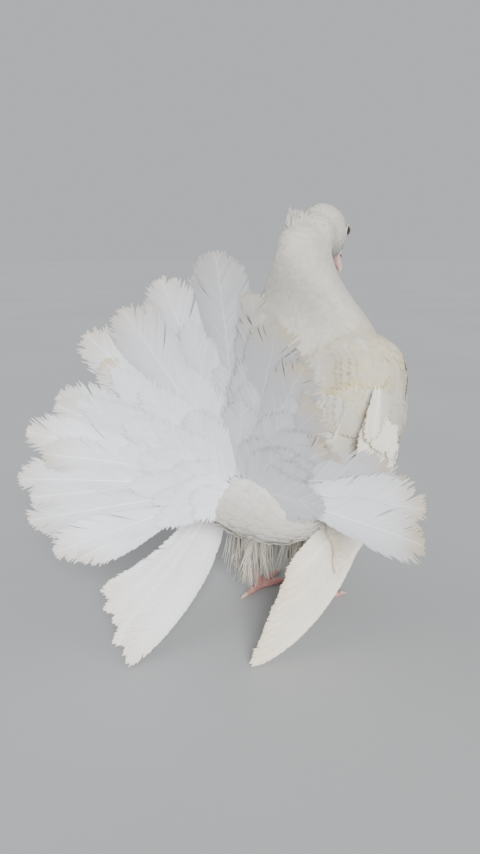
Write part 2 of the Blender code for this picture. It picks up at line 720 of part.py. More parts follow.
def main():
    clear_scene()
    white = material("body_feather", FEATHER_WHITE, 0.75)
    flight = material("flight_feather", WING_WHITE, 0.6)
    pink = material("leg_skin", SKIN_PINK, 0.55)
    horn = material("bill_horn", BILL_PINK, 0.4)
    dark = material("eye", EYE_DARK, 0.08)
    nail = material("claw", CLAW_HORN, 0.35)

    torso = make_torso("torso", white)
    neck = make_neck(white)
    cut(neck, make_skull("neck_cutter", white, GAP))
    head, eyes, upper, lower = make_head(white, pink, dark, horn)
    tail = make_tail(flight)
    wings = [
        make_wing("left", LEFT_EDGE, LEFT_TRAILING, *LEFT_SPREAD, flight),
        make_wing("right", RIGHT_EDGE, RIGHT_TRAILING, *RIGHT_SPREAD, flight),
    ]
    nodes = [torso, neck, head, *eyes, upper, lower, tail, *wings]
    for side, sign in (("left", 1), ("right", -1)):
        leg, claws = make_leg(side, sign, pink, nail, white)
        nodes += [leg, *claws]
    for node in nodes:
        node.data.transform(Matrix.Translation(BIRD_AT))
        node.data.shade_smooth()
        node.data.set_sharp_from_angle(angle=math.radians(40))


main()
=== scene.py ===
"""The looks of a white fantail pigeon: skin, feathers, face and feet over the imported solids.

The bird faces -Y, its left side is +X and the floor is z = 0. Sizes are in metres, or in mm where a
comment says so.
"""

import json
import math

import bmesh
import bpy
import numpy as np
from mathutils import Euler, Matrix, Vector
from mathutils.bvhtree import BVHTree

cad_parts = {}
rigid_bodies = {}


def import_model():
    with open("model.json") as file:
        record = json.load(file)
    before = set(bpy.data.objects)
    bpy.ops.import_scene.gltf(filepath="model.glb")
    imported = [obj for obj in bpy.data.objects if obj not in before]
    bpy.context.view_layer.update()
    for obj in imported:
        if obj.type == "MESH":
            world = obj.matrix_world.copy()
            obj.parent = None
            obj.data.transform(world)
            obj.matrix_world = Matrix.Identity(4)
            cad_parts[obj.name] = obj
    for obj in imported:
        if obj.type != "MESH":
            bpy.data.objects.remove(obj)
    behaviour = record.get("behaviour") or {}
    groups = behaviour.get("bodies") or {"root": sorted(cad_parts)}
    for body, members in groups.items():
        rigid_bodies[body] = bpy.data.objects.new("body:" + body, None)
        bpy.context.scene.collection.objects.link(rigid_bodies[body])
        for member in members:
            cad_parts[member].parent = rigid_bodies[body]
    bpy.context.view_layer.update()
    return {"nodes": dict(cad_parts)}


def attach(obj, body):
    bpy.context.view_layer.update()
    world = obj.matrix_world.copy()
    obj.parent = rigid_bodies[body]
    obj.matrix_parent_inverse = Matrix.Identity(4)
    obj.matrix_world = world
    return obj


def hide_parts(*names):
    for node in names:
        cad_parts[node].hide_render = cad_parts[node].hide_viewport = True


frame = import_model()

MM = 0.001
BIRD_AT = Vector((3.45, -68.75, 0.0)) * MM
SIDES = (("left", 1), ("right", -1))

# Rings of the body from the rump to the throat: dorsal (y, z), ventral (y, z), half width, in mm.
BODY_RINGS = (
    ((109, 112), (106, 82), 15),
    ((102, 127), (99, 67), 32),
    ((87, 142), (81, 58), 45),
    ((66, 158), (54, 56), 53),
    ((50, 170), (20, 61), 57),
    ((42, 184), (-14, 76), 58),
    ((41, 197), (-40, 100), 57),
    ((44, 208), (-50, 132), 50),
    ((49, 219), (-43, 165), 39),
    ((53, 229), (-26, 192), 28),
    ((54, 238), (-9, 214), 20.5),
    ((51, 248), (2, 231), 17.5),
    ((44, 253), (8, 241), 15),
    ((31, 257), (10, 250), 10),
)
BODY_STEPS = 60
BODY_SIDES = 48
# How far the skin of the body and of the skull lies inside the coat's surface.
BODY_COAT = 1.6 * MM
SKULL_COAT = 0.7 * MM

# Rings of the skull in its own frame, from occiput to bill: y, centre z, half width, up, down, in mm.
SKULL_RINGS = (
    (18.5, 0.0, 4.5, 4.5, 4.5),
    (15.5, 0.0, 10.5, 10.5, 9.5),
    (9.5, 0.0, 13.6, 14.6, 13.0),
    (1.5, 0.0, 15.0, 16.4, 14.4),
    (-6.0, 0.0, 14.3, 15.2, 13.6),
    (-12.0, -0.6, 11.8, 11.6, 11.4),
    (-16.5, -1.8, 8.4, 8.2, 8.8),
    (-19.6, -3.2, 5.2, 5.0, 5.6),
)
SKULL_STEPS = 24
SKULL_SIDES = 36
HEAD_AT = Vector((-3.0, 2.0, 250.8)) * MM
HEAD_TURN = math.radians(-4)
HEAD_NOD = math.radians(37)
EYE_AT = Vector((11.7, -5.2, 4.0)) * MM
EYE_RADIUS = 3.7 * MM
# The root of the bill in the skull's frame, and its length, in mm.
BILL_BASE_Y = -18.6
BILL_LENGTH = 18.5
CREST_AT = Vector((3, 33, 251)) * MM
CREST_COUNT = 64

# The fan, from the bird's left round to its right: degrees from upright, reach in mm from the
# root, and how far back the lateral direction swings, in degrees.
TAIL_FORM = (
    (115, 116, 33), (103, 133, 33), (86, 127, 33), (62, 129, 33), (46, 115, 33), (33, 130, 32), (25, 129, 31),
    (14, 131, 30), (6, 130, 28), (0, 141, 20), (-3, 144, 10), (-8, 130, -2), (-13, 120, -3), (-20, 113, -4),
    (-32, 92, -4), (-48, 78, -2), (-62, 68, 0), (-69, 80, 2), (-75, 110, 3), (-81, 124, 5), (-90, 124, 8),
)
TAIL_ROOT = Vector((0, 110, 102)) * MM
# The fan's feathers stand in pairs: degrees from upright of each pair, from the bird's left.
TAIL_LOBES = (111, 99, 86, 71, 56, 37, 25, 14.5, -1, -9, -17, -28, -41, -58, -72, -80, -88)
# The two feathers of a pair: degrees aside, lift off the fan in mm, and shares of length and width.
TAIL_PAIR = ((3.4, -1.3, 0.945, 0.90), (-1.6, 0.9, 1.0, 1.0))
TAIL_LEAN_BACK = math.radians(12)
TAIL_WIDTH = 31 * MM
TAIL_BASE = 10 * MM
TAIL_SHINGLE = math.radians(7)
# Painted shade and dirt of the fan's feathers, 0 to 1, by their degrees from upright: how grey a feather is
# painted where the fan lies in shade, on its right panels, its top and the lobe's top under the wing, and how
# dirty it is at its end.
TAIL_PAINTED_SHADE_AND_DIRT = (
    (-90, 0.10, 1.0), (-80, 0.20, 1.0), (-71, 0.80, 1.0), (-62, 0.95, 0.7), (-41, 1.0, 0.9),
    (-20, 0.95, 0.9), (-6, 0.85, 0.3), (4, 0.74, 0.3), (18, 0.50, 0.4), (38, 0.25, 0.9),
    (54, 0.15, 0.4), (70, 0.05, 0.8), (90, 0.0, 0.4), (116, 0.0, 0.8),
)
# Rows of coverts over the fan's roots: count, first and last in degrees from upright, length and width
# in mm, lift in mm, tilt in degrees, behind the fan (1) or in front of it (-1), and how loose.
TAIL_TIERS = (
    (13, -62, 112, 98, 33, 1.3, 0.25, 1.0, 0.10),
    (12, -68, 116, 78, 33, 1.7, 0.6, 1.0, 0.12),
    (12, -84, 122, 54, 30, 2.2, 1.2, 1.0, 0.12),
    (11, -64, 84, 78, 36, 2.2, 1.5, -1.0, 0.10),
    (11, -76, 90, 54, 30, 3.4, 4.0, -1.0, 0.20),
)

# Each wing's leading edge from wrist to tip, as the four points of a Bezier curve, in mm.
LEFT_EDGE = ((61, 8, 166), (62, 12, 85), (8, 64, 34), (42, 176, -3.3))
RIGHT_EDGE = ((-63, 0, 167), (-66, 4, 92), (-66, 72, 17), (-23, 139, -0.8))
# The way from the leading to the trailing edge, at the wrist and at the tip.
LEFT_TRAILING = (Vector((-0.10, 0.80, 0.35)), Vector((0.78, 0.05, 0.62)))
RIGHT_TRAILING = (Vector((0.10, 0.85, 0.35)), Vector((0.50, 0.65, 0.56)))
# How far along the leading edge the wing's flesh goes, where it is read, how far behind the edge its
# middle lies, and how full it is from the wrist to its end.
WING_FLESH_END = 0.46
WING_FLESH_STEPS = np.linspace(0, WING_FLESH_END, 40)
WING_FLESH_BACK = 24 * MM
WING_BULK = (0.22, 0.62, 0.88, 1.0, 1.02, 1.0, 0.93, 0.82, 0.66, 0.4)
# The count and the width in mm of the primaries, the secondaries and the feathers under the wing.
PRIMARY_COUNT, PRIMARY_WIDTH = 10, 20
SECONDARY_COUNT, SECONDARY_WIDTH = 11, 21
LINING_COUNT, LINING_WIDTH = 12, 15
# How far behind the edge the innermost primary starts and ends, in mm, how far short of the tip it
# ends, and how late it leaves the edge.
LEFT_SPREAD = (16, 46, 0.04, 3.0)
RIGHT_SPREAD = (24, 39, 0.20, 1.0)
# Rows of coverts on a wing: count, start and end along the edge, first and last behind it in mm, lift
# and width in mm, and how stained.
WING_TIERS = (
    (11, 0.14, 0.39, 7, 46, 7.8, 17, 0.5),
    (11, 0.08, 0.31, 6, 48, 8.6, 16, 0.3),
)

# Where the legs stand to each side, the y and z of the ankle and the y of the foot, in mm.
LEG_X = 21
ANKLE = (56, 30)
FOOT_Y = 46
# The thigh's radius in mm, by the share of the way from hip to ankle.
THIGH_FORM = ((-0.35, 12), (0.0, 13.5), (0.4, 11.5), (0.75, 7.5), (1.0, 4.6))
SCUTES_OF_SHANK = 11
# Each toe's bearing from straight ahead in degrees, and its length in mm; a toe's radius in mm, and
# how full it is by the share of its length.
TOES = (("inner", -32, 25), ("middle", 0, 30), ("outer", 34, 24), ("hind", 172, 17))
TOE_RADIUS = 2.7
TOE_FORM = ((0, 0.95), (0.3, 1.0), (0.42, 0.86), (0.6, 0.98), (0.75, 0.8), (1.0, 0.62))
MUFF_LOCKS = 70
LOCK_STRINGS = 6

# The camera of the photograph: place, turn and pitch, and height and focal length in pixels.
CAMERA_AT = Vector((-197.6, 452.9, 245)) * MM
CAMERA_YAW = math.radians(30)
CAMERA_PITCH = math.radians(15)
PHOTO_HEIGHT = 854
PHOTO_FOCAL = 700

# The unwrap's chart, from 0 to 1: the size of one feather's patch, and where the parts lie. A wing has
# its flight feathers and coverts from the first place across, and its coat round the second.
PATCH = 0.003
CREST_CHART = np.array((0.62, 0.9))
FAN_CHART = (0.52, 0.06)
MUFF_CHART = (0.55, 0.70)
WING_CHART = {"left": (0.76, 0.80), "right": (0.88, 0.91)}

# The mound of down below and behind the root of the tail, in mm.
VENT_AT = (-8, 103, 90)
VENT_RADII = (42, 16, 23)
# The fullness of the nape between the back of the skull and the neck, in mm.
NAPE_AT = (-1.5, 19, 247)
NAPE_RADII = (15.5, 15, 15)

# The mass of the folded arm, from the back to the wrist and to the elbow: centre and radius, in mm.
ARM_STRANDS = (
    ((16, 42, 160, 14), (37, 31, 172, 15.5), (51, 20, 170, 14), (57, 14, 160, 11), (59, 10, 146, 8)),
    ((16, 44, 158, 14), (36, 39, 164, 16), (48, 33, 158, 15), (54, 30, 147, 12), (57, 29, 133, 8)),
    ((16, 46, 156, 14), (32, 47, 156, 15), (42, 46, 146, 15), (49, 45, 134, 12), (52, 46, 122, 8)),
)

# Feathers that lie from the shoulder over the wing, on the bird's left: root inside and outside,
# tip inside and outside, in mm; count; width, and lift at root and tip, in mm; how stained.
SHOULDER_TIERS = (
    ((24, 54, 166), (51, 36, 162), (32, 76, 134), (54, 58, 127), 10, 20, 0.4, 1.8, 0.25),
    ((18, 48, 178), (44, 28, 178), (28, 66, 151), (50, 38, 156), 10, 19, 0.4, 1.8, 0.9),
)

# The skin's grain, and how many times it is softened.
SKIN_VOXEL = 1.5 * MM
SKIN_SOFTENING = 18
# From what angle on an edge in a coat is sharp, and how high over the floor its lowest points stand.
SHARP_ANGLE = math.radians(50)
LOWEST = 0.05 * MM

# Small feathers, by the share of their length: the half width of their vane.
BODY_OUTLINE = ((0.0, 0.22), (0.30, 0.80), (0.58, 1.0), (0.80, 0.86), (0.93, 0.45))
WISP_OUTLINE = ((0.0, 1.0), (0.45, 0.8), (1.0, 0.08))
# How many kinds of vane the coat has, how many fingers each ends in, how far a vane arches, as a share
# of its half width, and how many places on the skin are tried for a feather.
VANE_KINDS = 4
VANE_FINGERS = 5
VANE_ARCH = 0.10
COAT_TRIES = 130000
# The coat's feathers on the trunk, vent, leg, neck, head and face: how far apart they stand, how long
# and wide they are, how high they end over the skin and how thick they are, in mm.
COAT_SPACING = (3.3, 3.0, 2.2, 2.1, 1.35, 1.1)
COAT_LENGTH = (15, 20, 12, 10.5, 5.6, 3.4)
COAT_WIDTH = (9.5, 9.0, 4.5, 6.4, 3.4, 2.0)
COAT_HEIGHT = (0.50, 0.6, 2.2, 0.36, 0.28, 0.22)
COAT_THICKNESS = (0.20, 0.20, 0.20, 0.16, 0.14, 0.12)
# The coat's pieces, in the order of the numbers that make_body_feathers gives to their feathers.
COAT_PIECES = ("coat_head", "coat_front", "coat_back", "coat_vent", "coat_wing_left", "coat_wing_right")

# A flight feather's shaft: its section, where it ends, how many rings it has, and how far along the
# shaft a barb runs for each step away from it.
SHAFT_RING = np.array([(-0.5, 0.0), (0.0, 1.0), (0.5, 0.0), (0.0, -0.9)])
SHAFT_END = 0.985
SHAFT_STEPS = 15
BARB_STEEPNESS = 1 / math.tan(0.75)

# The forms of the large feathers, as add_flight_feather reads them; edge sets the painted shade towards a
# vane's edge.
FAN_FORM = dict(widest=0.80, square=0.66, cup=7.0, splits=3, shaft=1.4 * MM, spacing=1.05 * MM, stain=0.0,
                barb=0.16 * MM)
FAN_COVERT_FORM = dict(widest=0.52, square=0.34, cup=2.5, splits=0, shaft=0.5 * MM, spacing=1.0 * MM,
                       barb=0.12 * MM, start=0.1, edge=0.06, base=0.4, soft=0.75)
SHOULDER_FORM = dict(widest=0.5, square=0.70, splits=0, shaft=0.4 * MM, spacing=1.0 * MM, barb=0.14 * MM,
                     start=0.03, edge=0.08, base=0.6, soft=0.75, fray=0.14, tone=(0.2, 0.4))
CREST_FORM = dict(widest=0.5, square=0.35, splits=1, shaft=0.45 * MM, spacing=0.75 * MM, fray=0.25,
                  stain=0.0, tip_stain=0.1)
WING_FORM = dict(cup=0.0, barb=0.16 * MM)
PRIMARY_FORM = dict(WING_FORM, widest=0.62, square=0.50, outer_share=0.34, shaft=1.5 * MM, stain=0.12,
                    tip_stain=0.6, tone=(0.0, 0.3))
SECONDARY_FORM = dict(WING_FORM, widest=0.66, square=0.6, outer_share=0.42, fray=0.06, stain=0.12,
                      tip_stain=0.4)
WING_COVERT_FORM = dict(WING_FORM, widest=0.58, square=0.6, cup=3.0, shaft=0.5 * MM, splits=0, fray=0.16,
                        stain=0.15, start=0.05, base=0.5, edge=0.08, tone=(0.0, 0.2), soft=0.7)
LINING_FORM = dict(WING_FORM, widest=0.62, square=0.5, shaft=0.5 * MM, splits=1, fray=0.12, stain=0.0,
                   tip_stain=0.1, start=0.08)

FLOOR_RADIUS = 8.0
FLOOR_DROP = 0.0002
SKY = (0.80, 0.82, 0.85, 1)
SKY_STRENGTH = 0.68
# Each sun's name, strength, width in degrees, and the way that it shines.
SUNS = (("key", 5.7, 25, (0.56, -0.72, -0.42)), ("fill", 0.9, 90, (-0.9, -0.35, -0.3)))
SENSOR_WIDTH = 36


def at(x, y, z):
    """A point of the bird in mm, from the middle of its wrists, as a place in the frame."""
    return Vector((x, y, z)) * MM + BIRD_AT


def smooth_rows(rows, steps):
    """Rows of numbers resampled along a Catmull-Rom curve through them."""
    table = np.array(rows, float)
    table = np.vstack([2 * table[0] - table[1], table, 2 * table[-1] - table[-2]])
    found = []
    for t in np.linspace(0, len(rows) - 1, steps):
        k = min(int(t), len(rows) - 2)
        f = t - k
        p0, p1, p2, p3 = table[k : k + 4]
        bend = 2 * p0 - 5 * p1 + 4 * p2 - p3
        turn = 3 * p1 - p0 - 3 * p2 + p3
        found.append(0.5 * (2 * p1 + (p2 - p0) * f + bend * f * f + turn * f**3))
    return found


def unit(rows):
    """Rows of vectors scaled to length one."""
    rows = np.asarray(rows, float)
    return rows / np.maximum(np.linalg.norm(rows, axis=-1, keepdims=True), 1e-12)


def flat_to(rows, normals):
    """Rows of vectors laid flat against the normals and scaled to length one."""
    return unit(rows - normals * np.sum(rows * normals, axis=-1, keepdims=True))


def smoothstep(x, low, high):
    t = np.clip((x - low) / (high - low), 0, 1)
    return t * t * (3 - 2 * t)


def between(table, place, column):
    """A column of a table, read at a place between the first numbers of its rows."""
    rows = np.array(sorted(table), float)
    return np.interp(place, rows[:, 0], rows[:, column])


def read_rows(places, steps, rows):
    """Rows of vectors that are known at steps, read at places between them."""
    return np.stack([np.interp(places, steps, rows[:, k]) for k in range(3)], axis=-1)


def measured(points):
    """The length of a path, and the share of it at each of its points."""
    steps = np.linalg.norm(np.diff(points, axis=0), axis=1)
    return steps.sum(), np.concatenate([[0], np.cumsum(steps)]) / steps.sum()


def arc(start, bend, end, t):
    """A place on the arc from start to end that leans to bend."""
    return start * (1 - t) ** 2 + bend * 2 * t * (1 - t) + end * t**2


def full_turn(sides):
    """The angles of a full turn in equal steps."""
    return [2 * math.pi * k / sides for k in range(sides)]


def oval(centre, up, side, sides):
    """A ring of points round a centre."""
    return [centre + up * math.cos(t) + side * math.sin(t) for t in full_turn(sides)]


# Materials


def new_material(name):
    made = bpy.data.materials.new(name)
    made.use_nodes = True
    tree = made.node_tree
    return made, tree, tree.nodes["Principled BSDF"]


def paint(tree, shader, tone, roughness, others=()):
    """Gives a shader its colour, its roughness and its other settings."""
    tree.links.new(tone, shader.inputs["Base Color"])
    for name, value in (("Roughness", roughness), *others):
        shader.inputs[name].default_value = value


def feed(tree, *pairs):
    """Gives each socket its source: a number, a colour or what another node puts out."""
    for source, socket in pairs:
        if isinstance(source, float):
            socket.default_value = source
        elif isinstance(source, tuple):
            socket.default_value = (*source, 1.0)
        else:
            tree.links.new(source, socket)


def texture(tree, kind, scale):
    """A texture laid out by the place in the object."""
    made = tree.nodes.new(kind)
    made.inputs["Scale"].default_value = scale
    tree.links.new(tree.nodes.new("ShaderNodeTexCoord").outputs["Object"], made.inputs["Vector"])
    return made


def noise(tree, scale, detail=3.0, roughness=0.5):
    made = texture(tree, "ShaderNodeTexNoise", scale)
    made.inputs["Detail"].default_value = detail
    made.inputs["Roughness"].default_value = roughness
    return made.outputs["Fac"]


def ramp(tree, source, stops):
    made = tree.nodes.new("ShaderNodeValToRGB")
    elements = made.color_ramp.elements
    while len(elements) < len(stops):
        elements.new(0.5)
    for element, (place, colour) in zip(elements, stops):
        element.position = place
        element.color = (*colour, 1.0)
    tree.links.new(source, made.inputs["Fac"])
    return made.outputs["Color"]


def mix(tree, share, low, high):
    made = tree.nodes.new("ShaderNodeMix")
    made.data_type = "RGBA"
    feed(tree, (share, made.inputs["Factor"]), (low, made.inputs[6]), (high, made.inputs[7]))
    return made.outputs[2]


def attribute(tree, name):
    made = tree.nodes.new("ShaderNodeAttribute")
    made.attribute_name = name
    return made.outputs["Fac"]


def times(tree, a, b):
    made = tree.nodes.new("ShaderNodeMath")
    made.operation = "MULTIPLY"
    made.use_clamp = True
    feed(tree, (a, made.inputs[0]), (b, made.inputs[1]))
    return made.outputs[0]


def bump(tree, height, shader, strength, distance):
    made = tree.nodes.new("ShaderNodeBump")
    feed(tree, (strength, made.inputs["Strength"]), (distance, made.inputs["Distance"]),
         (height, made.inputs["Height"]), (made.outputs["Normal"], shader.inputs["Normal"]))


def feather_material(name, white, shade, grey_and_shade, stain, roughness=0.62):
    """White feather: cloudy tone, greyer feather by feather with its tint and painted shade, and stained
    towards the tips.
    """
    made, tree, shader = new_material(name)
    tone = ramp(tree, noise(tree, 26.0, 4.0), ((0.30, shade), (0.68, white)))
    # Painted shade: the second attribute draws the colour towards the grey, for the feathers' own tint and
    # for shade painted on.
    tone = mix(tree, attribute(tree, "tint_and_shade"), tone, grey_and_shade)
    dirt = times(tree, attribute(tree, "stain"), noise(tree, 60.0, 5.0, 0.6))
    tone = mix(tree, times(tree, dirt, 1.5), tone, stain)
    sheen = (("Specular IOR Level", 0.3), ("Sheen Weight", 0.15), ("Sheen Roughness", 0.6))
    paint(tree, shader, tone, roughness, sheen)
    bump(tree, noise(tree, 1400.0, 2.0), shader, 0.25, 0.0002)
    return made


def skin_material(name, low, high, scale, roughness, bump_scale, bump_depth):
    made, tree, shader = new_material(name)
    paint(tree, shader, ramp(tree, noise(tree, scale, 4.0), ((0.3, low), (0.7, high))), roughness)
    bump(tree, noise(tree, bump_scale, 3.0), shader, 0.5, bump_depth)
    return made


def scale_material(name, low, high):
    """Scaly pink skin of the shanks and toes."""
    made, tree, shader = new_material(name)
    cells = texture(tree, "ShaderNodeTexVoronoi", 620.0)
    cells.feature = "DISTANCE_TO_EDGE"
    groove = ramp(tree, cells.outputs["Distance"], ((0.0, low), (0.22, high)))
    paint(tree, shader, mix(tree, times(tree, noise(tree, 160.0), 0.5), groove, low), 0.5)
    bump(tree, cells.outputs["Distance"], shader, 0.5, 0.0003)
    return made


def eye_material(name):
    """A wet eye, with a black pupil in a very dark brown iris, by the distance from its axis."""
    made, tree, shader = new_material(name)
    pupil = (0.004, 0.003, 0.003)
    stops = ((0.0, pupil), (0.44, pupil), (0.50, (0.040, 0.016, 0.010)), (0.86, (0.016, 0.008, 0.007)),
             (0.95, (0.006, 0.005, 0.005)))
    wet = (("Coat Weight", 1.0), ("Coat Roughness", 0.02))
    paint(tree, shader, ramp(tree, attribute(tree, "from_axis"), stops), 0.12, wet)
    return made


def floor_material(name):
    made, tree, shader = new_material(name)
    stops = ((0.3, (0.362, 0.367, 0.372)), (0.7, (0.392, 0.397, 0.402)))
    paint(tree, shader, ramp(tree, noise(tree, 3.0, 5.0), stops), 0.85)
    return made


# Meshes of many pieces


class Coat:
    """Collects many small closed pieces and makes one mesh of them."""

    def __init__(self, name, look):
        self.name, self.look, self.count, self.parts = name, look, 0, []

    def add(self, points, faces, patches, stains, tints_and_shade):
        """points (n, m, 3) of n pieces alike, patches (n, m, 2) on the chart, stains and tints for (n, m);
        the tints hold grey and painted shade.
        """
        n, m = points.shape[:2]
        many = faces[None] + (np.arange(n) * m + self.count)[:, None, None]
        stains, tints_and_shade = (np.broadcast_to(values, (n, m)).ravel() for values in (stains, tints_and_shade))
        self.parts.append((points.reshape(-1, 3), many.reshape(-1, 3), patches.reshape(-1, 2), stains, tints_and_shade))
        self.count += n * m

    def finish(self, slot, *nodes):
        """Makes the piece, with its finish, in place of the solids it stands for."""
        points, faces, patches, stains, tints_and_shade = (np.concatenate(rows) for rows in zip(*self.parts))
        points[:, 2] = np.maximum(points[:, 2], LOWEST)
        mesh = bpy.data.meshes.new(self.name)
        mesh.vertices.add(len(points))
        mesh.vertices.foreach_set("co", points.astype(np.float32).ravel())
        mesh.loops.add(faces.size)
        mesh.loops.foreach_set("vertex_index", faces.astype(np.int32).ravel())
        mesh.polygons.add(len(faces))
        mesh.polygons.foreach_set("loop_start", np.arange(0, faces.size, 3, dtype=np.int32))
        mesh.update(calc_edges=True)
        unwrap = mesh.uv_layers.new(name="OFBake")
        unwrap.data.foreach_set("uv", patches[faces.ravel()].astype(np.float32).ravel())
        # The tints bring the feathers' own grey and the painted shade to the material.
        for name, values in (("stain", stains), ("tint_and_shade", tints_and_shade)):
            layer = mesh.attributes.new(name, "FLOAT", "POINT")
            layer.data.foreach_set("value", values.astype(np.float32))
        made = new_piece(self.name, mesh, self.look)
        mesh.set_sharp_from_angle(angle=SHARP_ANGLE)
        dress(made, slot, *nodes)


def add_object(name, data):
    made = bpy.data.objects.new(name, data)
    bpy.context.scene.collection.objects.link(made)
    return made


def new_piece(name, mesh, look):
    """A smooth piece in one look."""
    mesh.materials.append(look)
    mesh.shade_smooth()
    return add_object(name, mesh)


def mesh_of(name, shape):
    """The mesh of a bmesh, which ends with it."""
    mesh = bpy.data.meshes.new(name)
    shape.to_mesh(mesh)
    shape.free()
    return mesh


def dress(piece, slot, *nodes):
    """Makes a piece ride on the bird, in place of the solids it stands for."""
    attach(piece, "root")
    if nodes:
        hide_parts(*nodes)


def tube_faces(rings, sides):
    """Triangles of a closed tube through rings of points, ends filled from their first point."""
    faces = []
    for i in range(rings - 1):
        for k in range(sides):
            a, b = i * sides + k, i * sides + (k + 1) % sides
            faces += [(a, b, b + sides), (a, b + sides, a + sides)]
    last = (rings - 1) * sides
    for k in range(1, sides - 1):
        faces += [(0, k + 1, k), (last, last + k, last + k + 1)]
    return faces


def vane_template(outline, fingers, draw):
    """A small feather with a soft edge: three points a ring, and fine fingers at its end.

    Gives its points as along (0 to 1), across (-1 to 1) and height, and its triangles.
    """
    spots = []
    for along, across in outline:
        spots += [(along, -across, -0.35), (along, 0.0, 1.0), (along, across, -0.35)]
    faces = tube_faces(len(outline), 3)
    for i in range(fingers):
        place = (i + 0.5) / fingers * 2 - 1
        start = 0.66 + 0.20 * (1 - place * place)
        end = start + draw.uniform(0.12, 0.24) * (1 - 0.4 * abs(place))
        middle, wide = place * 0.86, 1.3 / fingers
        lean = place * (1.0 + draw.uniform(-0.1, 0.25))
        a = len(spots)
        b, c, d = a + 1, a + 2, a + 3
        spots += [(start, middle - wide, -0.4), (start, middle, 0.9), (start, middle + wide, -0.4),
                  (end, lean, 0.0)]
        faces += [(a, c, b), (a, b, d), (b, c, d), (c, a, d)]
    return np.array(spots), np.array(faces)


def place_vanes(coat, template, roots, middles, tips, start_normals, end_normals, widths, thick, unwrap,
                stain, draw):
    """Sets one vane of the template from each root, over its middle, to its tip."""
    spots, faces = template
    t = spots[:, 0][None, :, None]
    bend = 2 * middles - (roots + tips) / 2
    a, b, c = roots[:, None], bend[:, None], tips[:, None]
    along = unit((b - a) * (1 - t) * 2 + (c - b) * t * 2)
    normal = flat_to(start_normals[:, None] * (1 - t) + end_normals[:, None] * t, along)
    across = spots[:, 1][None, :, None]
    tall = spots[:, 2][None, :, None]
    half = (widths / 2)[:, None, None]
    sag = VANE_ARCH * half * across**2
    points = arc(a, b, c, t) + np.cross(along, normal) * across * half
    points += normal * (tall * thick[:, None, None] / 2 - sag)
    local = np.stack([spots[:, 1] * 0.35, spots[:, 0] * 0.8], axis=-1) * PATCH
    fade = 0.3 + 0.7 * np.clip((spots[:, 0] - 0.5) / 0.5, 0, 1)
    tints_and_shade = draw.uniform(0, 0.45, (len(roots), 1))
    coat.add(points, faces, unwrap[:, None] + local[None], stain[:, None] * fade[None], tints_and_shade)


# Flight feathers, barb by barb


class Quill:
    """The path of one flight feather, with its outer face, read at any share of its length."""

    def __init__(self, points, faces):
        self.points = np.array(points, float)
        self.normals = np.array(faces, float)
        self.length, self.shares = measured(self.points)
        self.tangents = unit(np.gradient(self.points, axis=0))

    def read(self, share, across, lift, cup):
        """Points at shares along, across (m) to one side, lifted off the vane, cupped downwards."""
        share = np.asarray(share, float)
        inside = np.clip(share, 0, 1)
        spot, along, face = (
            read_rows(inside, self.shares, rows) for rows in (self.points, self.tangents, self.normals)
        )
        along = unit(along)
        face = flat_to(face, along)
        side = np.cross(along, face)
        beyond = ((share - inside) * self.length)[..., None]
        bend = (-cup * np.asarray(across) ** 2 + lift)[..., None]
        return spot + along * beyond + side * np.asarray(across)[..., None] + face * bend


def quill_width(share, widest, square, base):
    """The half width of a flight feather, as a share of its greatest, along its length."""
    rise = np.clip(share / widest, 0, 1) ** 1.3
    low = base + (1 - base) * rise * rise * (3 - 2 * rise)
    fall = np.clip((share - widest) / (1 - widest), 0, 1)
    body = np.where(share < widest, low, 1 - (1 - square) * fall**2.4)
    close = np.clip((share - 0.92) / 0.08, 0, 1)
    return body * np.sqrt(np.clip(1 - close**2, 0, 1))


def barb_ends(begin, half_width, steepness, length, *form):
    """Where barbs that leave the shaft at begin, slanting by steepness, meet the vane's outline."""
    low, high = begin.copy(), np.full_like(begin, 1.001)
    for _ in range(22):
        middle = (low + high) / 2
        past = begin + half_width * quill_width(middle, *form) * steepness / length > middle
        low, high = np.where(past, middle, low), np.where(past, high, middle)
    return low


def add_shaft(coat, quill, shaft, unwrap, stain, tint_and_shade):
    """The tapering shaft of a flight feather."""
    shares = np.linspace(0, SHAFT_END, SHAFT_STEPS)
    thick = shaft * (1 - 0.82 * shares)
    across = SHAFT_RING[:, 0][None] * thick[:, None]
    lift = SHAFT_RING[:, 1][None] * thick[:, None] * 0.5
    points = quill.read(np.repeat(shares[:, None], 4, 1), across, lift, 0.0).reshape(1, -1, 3)
    patches = unwrap + np.zeros((points.shape[1], 2))
    coat.add(points, np.array(tube_faces(SHAFT_STEPS, 4)), patches, np.repeat(shares, 4) * 0.25 * stain, tint_and_shade)


def split_shifts(count, splits, length, draw):
    """How far along each barb of a row moves where the row is split."""
    shift = np.zeros(count)
    for _ in range(splits):
        away = np.arange(count) - int(count * draw.uniform(0.35, 0.97)) + 0.5
        wide = draw.uniform(0.5, 1.9) * MM / length
        shift += np.sign(away) * wide * np.exp(-np.abs(away) / draw.uniform(2, 7))
    return shift


